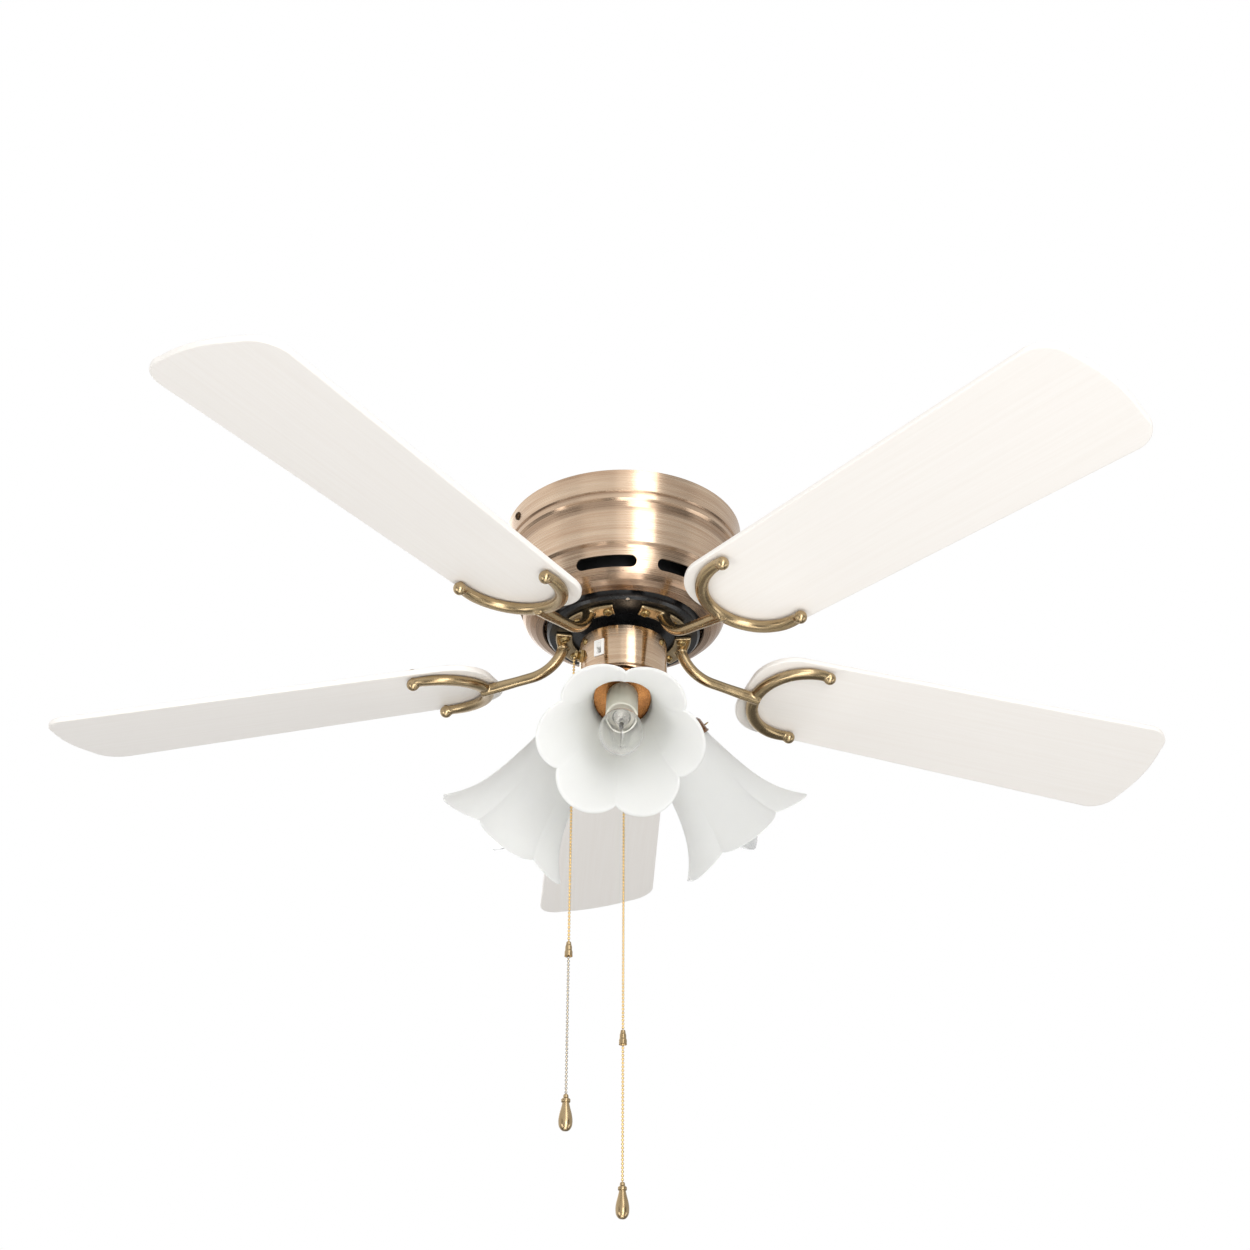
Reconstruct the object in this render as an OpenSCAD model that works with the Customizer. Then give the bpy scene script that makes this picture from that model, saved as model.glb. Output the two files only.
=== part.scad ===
// Flush-mount ceiling fan with five blades and a three-lamp light kit.
// The origin is the centre of the ceiling plane, +Z points up, and the fan hangs towards -Z.

/* [Blades] */
// Diameter of the circle swept by the blade tips
sweep = 1050; // [900:10:1200]
// Width of a blade near its tip
blade_tip_w = 125; // [110:1:135]
// Width of a blade near its root
blade_root_w = 102; // [98:1:108]
// Thickness of a blade
blade_t = 5; // [4:0.5:7]
// Pitch of a blade about its own length
blade_pitch = 11.5; // [8:0.5:13]
// Angle by which a blade droops towards its tip
blade_droop = 1; // [0:0.5:2]
// Compass angle of the first blade
first_blade_az = 21.2; // [0:0.1:71.9]

/* [Motor housing] */
// Outer radius of the housing at the ceiling
housing_r = 103.8; // [103:0.1:108]
// Compass angle of the middle of one vent slot
slot_az = 260.4; // [0:0.1:360]
// Angle that one vent slot spans
slot_span = 27; // [15:1:30]

/* [Light kit] */
// Compass angle of the first lamp
first_lamp_az = 269.2; // [0:0.1:359.9]
// Angle of a lamp's axis below the horizontal
lamp_tilt = 46.7; // [40:0.1:52]
// Length of a shade from neck to rim
shade_l = 97; // [90:1:105]
// Radius of a shade's neck
shade_neck_r = 26; // [25:0.5:26.5]

/* [Pull chains] */
// Height of the end of the fan speed chain
fan_chain_end = -510; // [-560:5:-450]
// Height of the end of the light chain
light_chain_end = -560; // [-600:5:-500]

/* [Hidden] */
$fn = 64;
eps = 0.01;

// Colours
brass = "#B89B76";
iron_brass = "#9C8350";
steel = "#A9ABAD";
white_part = "#F2EFEA";
frosted = "#E6E8E2";
black_enamel = "#1B1B1C";

// Ceiling plate: a flanged disc with a dropped middle that holds the shaft
plate_t = 1.5;
plate_r = 101.1;
plate_skirt_h = 16;
plate_hat_r = 40;
plate_hat_h = 13;
ceiling_hole_r = 2.75;
ceiling_pcd = 140;
ceiling_hole_count = 4;
hanger_screw_ring_r = 27;

// Shaft and bearings
shaft_r = 6;
shaft_bore_r = 3.5;
shaft_top = -4;
shaft_bottom = -124;
shoulder_r = 7.8;
bearing_w = 10;
bearing_tops = [-39, -93];
inner_race_r = 8.05;
outer_race_bore_r = 13.95;
bearing_r = 16;
ball_r = 2.9;
ball_pitch_r = 11;
ball_count = 8;

// Motor
rotor_r = 66;
rotor_wall = 6;
rotor_plate_t = 4;
rotor_top = -38;
ring_top = -60;
ring_bottom = -80;
rotor_bottom = -104;
rotor_floor_t = 6;
rotor_screw_ring_r = 63;
stator_r = 57.4;
stator_top = -61;
stator_bottom = -79;
stator_slots = 12;
slot_ring_r = 47;
winding_in_r = 36;
winding_out_r = 54;
winding_h = 7;

// Housing outline from the ceiling to the inward lip, as [radius, height]
housing_wall = 1;
housing_outline = [
    [housing_r, 0], [housing_r - 0.4, -3], [housing_r - 1.6, -19.5], [housing_r - 3, -20.5],
    [housing_r - 3, -22], [housing_r - 2.2, -22.6], [housing_r - 2.6, -26.5], [housing_r - 4.6, -28.5],
    [housing_r - 6.4, -33], [97, -36], [95.2, -66], [92.6, -68], [91.8, -70], [89.1, -81.3],
    [87.2, -86.6], [84.7, -90.6], [80.8, -94.2], [76, -97], [70, -98.5]
];
slot_count = 8;
slot_z = -81.5;
slot_h = 10;
housing_screw_az = 207;
housing_screw_z = -9.5;

// Blades and irons. The blade frame has X along the blade and its underside at z = 0.
blade_z = -131.2;
blade_root_x = 115;
blade_corner_r = 36;
tip_corner_r = 24;
tip_bulge = 5;
horseshoe_x = 168;
horseshoe_r = 43.5;
horseshoe_half_angle = 100;
iron_h = 8.5;
iron_extra_w = 2.5;
iron_ball_r = 5.6;
neck_r = 4.9;
neck_end_r = 4.5;
neck_bend_r = 36;
neck_bend_x = 88.6;
neck_bend_z = -97.1;
neck_start_angle = 188;
neck_end_angle = 260.5;
neck_end_x = 122;
foot_in_r = 44;
foot_out_r = 58.5;
foot_t = 3.5;
foot_half_angle = 24;
foot_screw_angle = 17.5;
foot_screw_r = 50;
blade_count = 5;

// Switch housing
switch_r = 37.5;
switch_wall = 1;
switch_top = -113.3;
switch_bottom = -150.5;
pull_z = -130;
fan_pull_az = 200;
light_pull_az = 89;
slider_az = 237.6;
slider_z = -129.5;
slider_travel = 6;
nipple_mouth_r = 43;
chain_r = 44.6;
chain_top = -132.5;
chain_d = 2.4;

// Light kit
kit_rim_r = 39;
kit_outline = [
    [kit_rim_r, switch_bottom], [kit_rim_r + 0.8, -153], [kit_rim_r + 0.8, -156], [kit_rim_r, -159],
    [37.5, -165], [33.5, -172], [27.5, -178.5], [20, -183.6], [10, -187]
];
kit_wall = 1.2;
lamp_count = 3;
lamp_x = 50.1;
lamp_z = -191.7;
arm_r = 6.5;
cup_r = 29;
cup_back = -6;
cup_mouth = 10;
sleeve_r = 13;
sleeve_end = 47;
bulb_r = 17.3;
bulb_tip = 114;
shade_wall = 2.6;
shade_notch_r = 55;
shade_lobe_r = 65.5;
shade_lobe_l = 6;
shade_bell = 20;
shade_flare = 15;
// Turn of each shade's lobes about its own axis, and of each cup's three thumb screws
lobe_turn = [-4.6, -25.3, 14.1];
thumb_turn = [0, 60, 60];

// Connectors on the chains
connector_h = 12;
fan_connector_z = -401;
light_connector_z = -452;
fob_h = 28;

function arc(cx, cy, r, from, to, steps) =
    [for (i = [0:steps]) let (a = from + (to - from) * i / steps) [cx + r * cos(a), cy + r * sin(a)]];

function inset(outline, wall) = [for (p = outline) [p[0] - wall, min(p[1] + wall, 0)]];

function reversed(list) = [for (i = [len(list) - 1:-1:0]) list[i]];

module spun(points) {
    rotate_extrude()
        polygon(points);
}

module shell_of(outline, wall) {
    spun(concat(outline, reversed(inset(outline, wall))));
}

module tube(r, bore, bottom, top) {
    translate([0, 0, bottom])
        difference() {
            cylinder(r = r, h = top - bottom);
            translate([0, 0, -1])
                cylinder(r = bore, h = top - bottom + 2);
        }
}

module disc(r, bottom, top) {
    translate([0, 0, bottom])
        cylinder(r = r, h = top - bottom);
}

module hex_nut(across, bore, bottom, top) {
    translate([0, 0, bottom])
        difference() {
            cylinder(r = across / sqrt(3), h = top - bottom, $fn = 6);
            translate([0, 0, -1])
                cylinder(r = bore, h = top - bottom + 2);
        }
}

module around(count, r, start = 0) {
    for (i = [0:count - 1])
        rotate([0, 0, start + 360 * i / count])
            translate([r, 0, 0])
                children();
}

// A screw hanging head down, with its head's seat at z = 0 and its shank going up
module screw_down(head_r, head_h, shank_r, shank_l) {
    disc(head_r, -head_h, 0);
    disc(shank_r, -eps, shank_l);
}

// Children stand on a cylinder wall: their +Z points outwards from the fan's axis
module on_wall(az, r, z) {
    rotate([0, 0, az])
        translate([r, 0, z])
            rotate([0, 90, 0])
                children();
}

// Turns the fan's +X to the azimuth of one blade
module at_azimuth(i) {
    rotate([0, 0, first_blade_az + 360 / blade_count * i])
        children();
}

module blade_tilt() {
    translate([0, 0, blade_z])
        rotate([0, blade_droop, 0])
            rotate([-blade_pitch, 0, 0])
                children();
}

module at_blade(i) {
    at_azimuth(i)
        blade_tilt()
            children();
}

// The lamp frame has +Z along the lamp towards the shade's mouth and -X upwards
module at_lamp(k) {
    rotate([0, 0, first_lamp_az + 360 / lamp_count * k])
        translate([lamp_x, 0, lamp_z])
            rotate([0, 90 + lamp_tilt, 0])
                children();
}

module each_lamp() {
    for (k = [0:lamp_count - 1])
        at_lamp(k)
            children();
}

module ceiling_plate() {
    color(steel)
        difference() {
            spun([
                [plate_hat_r, 0], [plate_r, 0], [plate_r, -plate_skirt_h],
                [plate_r - plate_t, -plate_skirt_h],
                [plate_r - plate_t, -plate_t], [plate_hat_r, -plate_t], [plate_hat_r, -plate_hat_h],
                [shaft_r + 0.05, -plate_hat_h], [shaft_r + 0.05, plate_t - plate_hat_h],
                [plate_hat_r - plate_t, plate_t - plate_hat_h], [plate_hat_r - plate_t, 0]
            ]);
            around(ceiling_hole_count, ceiling_pcd / 2, 45)
                disc(ceiling_hole_r, -3, 1);
            around(3, hanger_screw_ring_r, 60)
                disc(2.1, -plate_hat_h - 1, 0);
            for (i = [0:1])
                on_wall(housing_screw_az + 180 * i, plate_r - 3, housing_screw_z)
                    cylinder(r = 1.7, h = 5);
        }
}

module terminal_block() {
    color("#D9D5C8")
        difference() {
            translate([12, -14, plate_t - plate_hat_h])
                cube([14, 28, 9.5]);
            for (y = [-9, 0, 9])
                translate([19, y, -8])
                    cylinder(r = 2.2, h = 10);
            for (y = [-9, 0, 9])
                translate([11, y, -7])
                    rotate([0, 90, 0])
                        cylinder(r = 1.6, h = 16);
        }
}

module hanger_plate() {
    color(steel)
        difference() {
            union() {
                disc(36, -plate_hat_h - 4, -plate_hat_h);
                disc(13, -27, -plate_hat_h - 4 + eps);
            }
            disc(shaft_r, -28, -plate_hat_h + 1);
            around(3, hanger_screw_ring_r, 60)
                disc(2.1, -plate_hat_h - 5, -plate_hat_h + 1);
        }
}

module hanger_fasteners() {
    color("#8C8E90") {
        hex_nut(19, shaft_r, plate_t - plate_hat_h, -5.5);
        hex_nut(19, shaft_r, switch_top - 8, switch_top - 3);
        tube(8, shaft_r, bearing_tops[1] - bearing_w - 2, bearing_tops[1] - bearing_w);
        hex_nut(19, shaft_r, bearing_tops[1] - bearing_w - 6, bearing_tops[1] - bearing_w - 2);
        around(3, hanger_screw_ring_r, 60)
            translate([0, 0, -plate_hat_h - 4])
                screw_down(3.5, 2.5, 2, 9);
    }
}

module motor_shaft() {
    color(steel)
        difference() {
            union() {
                disc(shaft_r, shaft_bottom, shaft_top);
                disc(shoulder_r, bearing_tops[1], bearing_tops[0] - bearing_w);
            }
            disc(shaft_bore_r, shaft_bottom - 1, shaft_top + 1);
        }
}

module shaft_wires() {
    color("#6B2F2A")
        for (a = [0:120:240])
            rotate([0, 0, a])
                translate([1.65, 0, 0])
                    disc(1.25, shaft_bottom - 3, shaft_top + 2);
}

module motor_housing() {
    slot_mid_r = 89;
    half = slot_span / 2;
    color(brass)
        difference() {
            shell_of(housing_outline, housing_wall);
            for (i = [0:slot_count - 1])
                rotate([0, 0, slot_az + 360 / slot_count * i]) {
                    rotate([0, 0, -half])
                        rotate_extrude(angle = slot_span)
                            translate([slot_mid_r - 8, slot_z - slot_h / 2])
                                square([16, slot_h]);
                    for (side = [-1, 1])
                        on_wall(side * half, slot_mid_r - 8, slot_z)
                            cylinder(r = slot_h / 2, h = 16);
                }
            for (i = [0:1])
                on_wall(housing_screw_az + 180 * i, housing_r - 4, housing_screw_z)
                    cylinder(r = 2.1, h = 6);
        }
}

module housing_screws() {
    seat_r = housing_r - 0.5;
    color("#5A4632")
        for (i = [0:1])
            on_wall(housing_screw_az + 180 * i, 0, housing_screw_z) {
                disc(3.6, seat_r, seat_r + 2.1);
                disc(1.6, seat_r - 6, seat_r + eps);
            }
}

module stator_core() {
    color("#7C7F83")
        difference() {
            tube(stator_r, shoulder_r, stator_bottom, stator_top);
            around(stator_slots, slot_ring_r)
                disc(4.4, stator_bottom - 1, stator_top + 1);
            around(stator_slots, stator_r)
                translate([-7.5, -1.2, stator_bottom - 1])
                    cube([9, 2.4, stator_top - stator_bottom + 2]);
        }
}

module stator_windings() {
    color("#B4602C") {
        tube(winding_out_r, winding_in_r, stator_bottom - winding_h, stator_bottom - 0.2);
        tube(winding_out_r, winding_in_r, stator_top + 0.2, stator_top + winding_h);
        around(stator_slots, slot_ring_r)
            disc(4, stator_bottom - 1, stator_top + 1);
    }
}

module bearing_ring(outer, inner) {
    for (top = bearing_tops)
        tube(outer, inner, top - bearing_w, top);
}

module bearing_inner_races() {
    color("#C3C6C9")
        bearing_ring(inner_race_r, shaft_r);
}

module bearing_ball_cages() {
    color("#D8DADC")
        for (top = bearing_tops)
            translate([0, 0, top - bearing_w / 2]) {
                tube(ball_pitch_r + 0.8, ball_pitch_r - 0.8, -1.2, 1.2);
                around(ball_count, ball_pitch_r)
                    sphere(r = ball_r);
            }
}

module bearing_outer_races() {
    color("#B3B6B9")
        bearing_ring(bearing_r, outer_race_bore_r);
}

module rotor_screw_holes() {
    around(blade_count, rotor_screw_ring_r, first_blade_az + 36)
        disc(2, rotor_bottom - 1, rotor_top + 1);
}

module rotor_top_cover() {
    color("#2A2A2B")
        difference() {
            spun([
                [bearing_r, rotor_top], [rotor_r - 3, rotor_top], [rotor_r, rotor_top - 3],
                [rotor_r, ring_top],
                [rotor_r - rotor_wall, ring_top], [rotor_r - rotor_wall, rotor_top - rotor_plate_t],
                [21, rotor_top - rotor_plate_t], [21, bearing_tops[0] - bearing_w],
                [bearing_r, bearing_tops[0] - bearing_w]
            ]);
            rotor_screw_holes();
        }
}

module rotor_ring() {
    color("#8A8C8F")
        difference() {
            tube(rotor_r + 2, stator_r + 0.5, ring_bottom, ring_top);
            rotor_screw_holes();
        }
}

module rotor_bottom_cover() {
    floor_top = rotor_bottom + rotor_floor_t;
    color(black_enamel)
        difference() {
            spun([
                [bearing_r, rotor_bottom], [rotor_r - 2, rotor_bottom], [rotor_r, rotor_bottom + 2],
                [rotor_r, ring_bottom], [rotor_r - rotor_wall, ring_bottom],
                [rotor_r - rotor_wall, floor_top],
                [22, floor_top], [22, bearing_tops[1]], [bearing_r, bearing_tops[1]]
            ]);
            rotor_screw_holes();
            for (i = [0:blade_count - 1])
                at_azimuth(i)
                    at_foot_screws()
                        disc(2.6, rotor_bottom - 1, floor_top + 1);
        }
}

module rotor_screws() {
    color(steel)
        around(blade_count, rotor_screw_ring_r, first_blade_az + 36) {
            disc(1.9, rotor_bottom + 0.5, rotor_top);
            disc(3.6, rotor_top, rotor_top + 2.5);
        }
}

// The two screws that hold an iron's foot under the rotor
module at_foot_screws() {
    for (side = [-1, 1])
        rotate([0, 0, side * foot_screw_angle])
            translate([foot_screw_r, 0, 0])
                children();
}

// Flat-sided round section of the iron's horseshoe
module horseshoe_section() {
    for (side = [-1, 1])
        translate([side * iron_extra_w / 2, 0])
            circle(r = iron_h / 2);
    translate([-iron_extra_w / 2, -iron_h / 2])
        square([iron_extra_w, iron_h]);
}

module iron_foot() {
    difference() {
        translate([0, 0, rotor_bottom - foot_t])
            rotate([0, 0, -foot_half_angle])
                rotate_extrude(angle = 2 * foot_half_angle)
                    translate([foot_in_r, 0])
                        square([foot_out_r - foot_in_r, foot_t]);
        at_foot_screws()
            disc(2.6, rotor_bottom - foot_t - 1, rotor_bottom + 1);
    }
}

// Bent bar from the foot down and out to the horseshoe, in the plane of the blade's own azimuth
module iron_neck() {
    sweep_angle = neck_end_angle - neck_start_angle;
    end_x = neck_bend_x + neck_bend_r * cos(neck_end_angle);
    end_z = neck_bend_z + neck_bend_r * sin(neck_end_angle);
    slope = neck_end_angle - 270;
    length = (neck_end_x - end_x) / cos(slope);
    translate([neck_bend_x, 0, neck_bend_z])
        rotate([90, 0, 0])
            rotate([0, 0, neck_start_angle])
                rotate_extrude(angle = sweep_angle)
                    translate([neck_bend_r, 0])
                        circle(r = neck_r);
    translate([end_x, 0, end_z])
        rotate([0, 90 - slope, 0])
            disc(neck_end_r, -2, length);
}

module iron_horseshoe() {
    end_angle = 180 - horseshoe_half_angle;
    translate([horseshoe_x, 0, -iron_h / 2 - 0.05]) {
        rotate([0, 0, end_angle])
            rotate_extrude(angle = 2 * horseshoe_half_angle)
                translate([horseshoe_r, 0])
                    horseshoe_section();
        for (side = [-1, 1])
            rotate([0, 0, side * end_angle])
                translate([horseshoe_r, 0, -iron_ball_r + iron_h / 2])
                    sphere(r = iron_ball_r);
    }
}

module blade_iron(i) {
    color(iron_brass)
        at_azimuth(i)
            difference() {
                union() {
                    iron_foot();
                    iron_neck();
                    blade_tilt()
                        iron_horseshoe();
                }
                blade_tilt()
                    at_blade_screws()
                        disc(1.6, -6, 1);
                translate([40, -20, rotor_bottom])
                    cube([30, 40, 10]);
            }
}

module iron_screws() {
    color("#8F7A4E")
        for (i = [0:blade_count - 1])
            at_azimuth(i)
                at_foot_screws()
                    translate([0, 0, rotor_bottom - foot_t])
                        screw_down(4.2, 2.6, 2.4, foot_t + rotor_floor_t);
}

// The three fixing points of a blade on its horseshoe
module at_blade_screws() {
    for (a = [80, 180, 280])
        translate([horseshoe_x + horseshoe_r * cos(a), horseshoe_r * sin(a), 0])
            children();
}

function blade_half_w(x) =
    let (t = (x - 140) / (sweep / 2 - 140))
    (blade_root_w + (blade_tip_w - blade_root_w) * t) / 2;

// One side of the blade outline from the middle of the root to the middle of the tip
function blade_side() =
    let (
        root_half = blade_half_w(blade_root_x + blade_corner_r),
        tip_x = sweep / 2 - tip_bulge,
        tip_half = blade_half_w(tip_x - tip_corner_r)
    )
    concat(
        arc(blade_root_x + blade_corner_r, root_half - blade_corner_r, blade_corner_r, 180, 92, 9),
        arc(tip_x - tip_corner_r, tip_half - tip_corner_r, tip_corner_r, 88, 6, 8),
        [for (t = [0.75:-0.25:0]) [sweep / 2 - tip_bulge * t * t, (tip_half - tip_corner_r) * t]]
    );

module blade(i) {
    side = blade_side();
    other = [for (p = reversed(side)) [p[0], -p[1]]];
    color(white_part)
        at_blade(i)
            difference() {
                linear_extrude(height = blade_t)
                    polygon(concat(side, [for (k = [1:len(other) - 1]) other[k]]));
                at_blade_screws()
                    disc(2.6, -1, blade_t + 1);
            }
}

module blade_screws() {
    color("#C9B98F")
        for (i = [0:blade_count - 1])
            at_blade(i)
                at_blade_screws() {
                    disc(5.5, blade_t, blade_t + 1);
                    disc(3.8, blade_t + 1, blade_t + 3);
                    disc(1.6, -5, blade_t + 1);
                }
}

module switch_bracket() {
    lip_r = switch_r - switch_wall - 0.3;
    color(steel)
        difference() {
            spun([
                [shaft_r + 0.05, switch_top - 1], [lip_r, switch_top - 1], [lip_r, switch_top - 10],
                [lip_r - 1.2, switch_top - 10], [lip_r - 1.2, switch_top - 3],
                [shaft_r + 0.05, switch_top - 3]
            ]);
            for (az = [90, 210, 330])
                on_wall(az, lip_r - 3, switch_top - 6)
                    cylinder(r = 1.5, h = 5);
        }
}

module switch_housing() {
    color(brass)
        difference() {
            union() {
                tube(switch_r, switch_r - switch_wall, switch_bottom, switch_top);
                tube(switch_r, 31, switch_top - 0.9, switch_top);
            }
            for (az = [90, 210, 330])
                on_wall(az, switch_r - 3, switch_top - 6)
                    cylinder(r = 1.7, h = 5);
            for (az = [fan_pull_az, light_pull_az])
                on_wall(az, switch_r - 3, pull_z)
                    cylinder(r = 3.3, h = 5);
            rotate([0, 0, slider_az])
                translate([switch_r - 3, -3, slider_z - slider_travel - 3])
                    cube([6, 6, slider_travel + 6]);
        }
}

module switch_housing_screws() {
    color("#8F7A4E")
        for (az = [90, 210, 330])
            on_wall(az, 0, switch_top - 6) {
                disc(3, switch_r, switch_r + 1.8);
                disc(1.4, switch_r - 5, switch_r + 0.1);
            }
}

module speed_switch() {
    color("#3A3A3C")
        difference() {
            union() {
                rotate([0, 0, fan_pull_az])
                    translate([19, 0, -146])
                        cylinder(r = 10.5, h = 20);
                on_wall(fan_pull_az, 27, pull_z)
                    cylinder(r = 3.6, h = 6.9);
            }
            on_wall(fan_pull_az, 24, pull_z)
                cylinder(r = 1.5, h = 14);
        }
}

module light_switch() {
    color("#4A4238")
        difference() {
            union() {
                rotate([0, 0, light_pull_az])
                    translate([21, 0, -144])
                        cylinder(r = 9, h = 18);
                on_wall(light_pull_az, 27, pull_z)
                    cylinder(r = 3.6, h = 6.9);
            }
            on_wall(light_pull_az, 24, pull_z)
                cylinder(r = 1.5, h = 14);
        }
}

module run_capacitor() {
    color("#26262A")
        rotate([0, 0, 325])
            translate([11, -16, -147])
                cube([14, 32, 20]);
}

module reverse_switch() {
    bezel_w = 9.5;
    bezel_h = 15;
    slot_h_z = slider_travel + 5.6;
    color("#F4F3F0")
        difference() {
            rotate([0, 0, slider_az])
                translate([0, 0, slider_z - slider_travel / 2]) {
                    translate([27, -bezel_w / 2, -bezel_h / 2])
                        cube([8.5, bezel_w, bezel_h]);
                    translate([35.4, -2.9, -bezel_h / 2 + 1.5])
                        cube([2.6, 5.8, bezel_h - 3]);
                    translate([37.6, -bezel_w / 2, -bezel_h / 2])
                        cube([1, bezel_w, bezel_h]);
                }
            rotate([0, 0, slider_az])
                translate([30, -2.1, slider_z - slider_travel - 2.8])
                    cube([12, 4.2, slot_h_z]);
        }
}

module reverse_slider() {
    color("#FBFBF8")
        rotate([0, 0, slider_az])
            translate([30.4, -1.8, slider_z - 2.5]) {
                cube([8.4, 3.6, 5]);
                for (z = [0.4, 2.1, 3.8])
                    translate([8.3, 0, z])
                        cube([0.9, 3.6, 0.8]);
            }
}

module chain_nipple(az) {
    reach = nipple_mouth_r - switch_r;
    on_wall(az, switch_r, pull_z)
        difference() {
            union() {
                cylinder(r = 6.2, h = 2.4, $fn = 6);
                rotate_extrude()
                    polygon([
                        [0, -3.5], [3.2, -3.5], [3.2, reach - 2.4],
                        [3.8, reach - 1], [4.8, reach], [0, reach]
                    ]);
            }
            translate([0, 0, -4])
                cylinder(r = 1.7, h = reach + 5);
        }
}

module chain_nipples() {
    color("#8A6B43") {
        chain_nipple(fan_pull_az);
        chain_nipple(light_pull_az);
    }
}

module switch_housing_cap() {
    cap_r = switch_r - switch_wall - 0.2;
    color(steel)
        difference() {
            disc(cap_r, switch_bottom, switch_bottom + 1.5);
            disc(5, switch_bottom - 1, switch_bottom + 3);
            around(2, 20, 30)
                disc(4, switch_bottom - 1, switch_bottom + 3);
        }
}

module light_kit_rod() {
    color("#A98C57") {
        tube(4.9, 3.4, -196, switch_bottom + 9);
        hex_nut(14, 4.9, switch_bottom + 1.5, switch_bottom + 5);
        hex_nut(14, 4.9, -185.8, -182);
    }
}

module light_kit_body() {
    inner = reversed(inset(kit_outline, kit_wall));
    open_inner = [for (i = [0:len(inner) - 1])
        i == len(inner) - 1 ? [switch_r - 0.8, switch_bottom] : inner[i]];
    color(brass)
        difference() {
            union() {
                spun(concat(kit_outline, open_inner));
                tube(12, 5, -187, -185.8);
            }
            each_lamp()
                translate([0, 0, -32])
                    cylinder(r = arm_r, h = 22);
        }
}

module finial() {
    color(brass)
        difference() {
            spun([
                [0, -205], [2.4, -204.4], [3.4, -202.6], [2.6, -200.4], [4, -198.6], [7.6, -195],
                [9.2, -191], [8.6, -187], [0, -187]
            ]);
            disc(4.95, -197, -186);
        }
}

module lamp_arms() {
    color(iron_brass)
        each_lamp()
            difference() {
                union() {
                    disc(arm_r, -31, cup_back);
                    disc(arm_r + 2.5, cup_back - 3, cup_back);
                    disc(4, cup_back - eps, cup_back + 3);
                }
                disc(2.8, -32, cup_back + 4);
            }
}

module shade_cup(k) {
    wall = 1;
    depth = cup_mouth - cup_back;
    color("#A0632A")
        at_lamp(k)
            difference() {
                translate([0, 0, cup_back])
                    spun([
                        [4, 0], [cup_r - 4, 0], [cup_r - 1.4, 1.4], [cup_r, 4], [cup_r, depth - 2],
                        [cup_r + 0.8, depth - 1], [cup_r, depth], [cup_r - wall, depth],
                        [cup_r - wall, 4], [cup_r - wall - 1.6, wall + 1.2], [cup_r - 4.6, wall], [4, wall]
                    ]);
                around(3, cup_r - 3, thumb_turn[k])
                    translate([0, 0, 4])
                        rotate([0, 90, 0])
                            cylinder(r = 1.5, h = 6);
            }
}

module lamp_holders() {
    color("#E9E4D6")
        each_lamp()
            difference() {
                disc(sleeve_r - 1.7, cup_back + 1.05, sleeve_end - 4);
                disc(4, cup_back, cup_back + 3.2);
                disc(7.1, sleeve_end - 27, sleeve_end);
            }
}

module candle_sleeves() {
    color("#F4F1E6")
        each_lamp()
            tube(sleeve_r, sleeve_r - 1.4, cup_back + 1.05, sleeve_end);
}

// Outline of a bulb's glass, as [radius, distance along the lamp]
function bulb_glass(start) = [
    [6.8, start], [8, start + 4], [11, start + 11], [14.6, start + 19], [16.8, start + 27],
    [bulb_r, start + 34], [16.4, start + 42], [13.6, start + 51], [9.4, start + 59],
    [5, start + 65], [2, bulb_tip - 1]
];

module bulbs() {
    glass_t = 0.8;
    base_bottom = sleeve_end - 26;
    outline = bulb_glass(sleeve_end - 2);
    hollow = [for (p = outline) [p[0] - glass_t, p[1]]];
    color("#F3F3EE")
        each_lamp()
            difference() {
                spun(concat(
                    [[0, base_bottom], [3, base_bottom], [6.8, base_bottom + 4]],
                    outline, [[0, bulb_tip]]
                ));
                spun(concat(
                    [[0, base_bottom - 1], [1.2, base_bottom - 1]],
                    [[1.2, base_bottom + 4], [6, base_bottom + 5]],
                    hollow, [[0, bulb_tip - 1]]
                ));
            }
}

module thumb_screws() {
    color("#7A6A50")
        for (k = [0:lamp_count - 1])
            at_lamp(k)
                around(3, 0, thumb_turn[k])
                    translate([shade_neck_r + 1.4, 0, 4])
                        rotate([0, 90, 0]) {
                            cylinder(r = 1.4, h = 8);
                            translate([0, 0, 7])
                                cylinder(r = 2.2, h = 1.5);
                            for (side = [-1, 1])
                                translate([-0.9, side * 2.1 - 1.6, 8])
                                    cube([1.8, 3.2, 4.5]);
                        }
}

// Radius of a shade without its lobes at fraction t of its length
function shade_r(t) = shade_neck_r + shade_bell * pow(t, 1.25) + shade_flare * pow(t, 6);

// Swell of the six rounded lobes: 0 in a notch and 1 in the middle of a lobe
function lobe(angle) = pow(abs(sin(3 * angle)), 0.75);

function shade_ring(t, inward, angles, turn) =
    let (grow = pow(t, 2.5), end_r = shade_r(1))
    [for (a = angles)
        let (
            swell = lobe(a - turn),
            spread = shade_notch_r - end_r + (shade_lobe_r - shade_notch_r) * swell,
            r = shade_r(t) - inward + grow * spread
        )
        [r * cos(a), r * sin(a), shade_l * t + shade_lobe_l * swell * grow]
    ];

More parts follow.
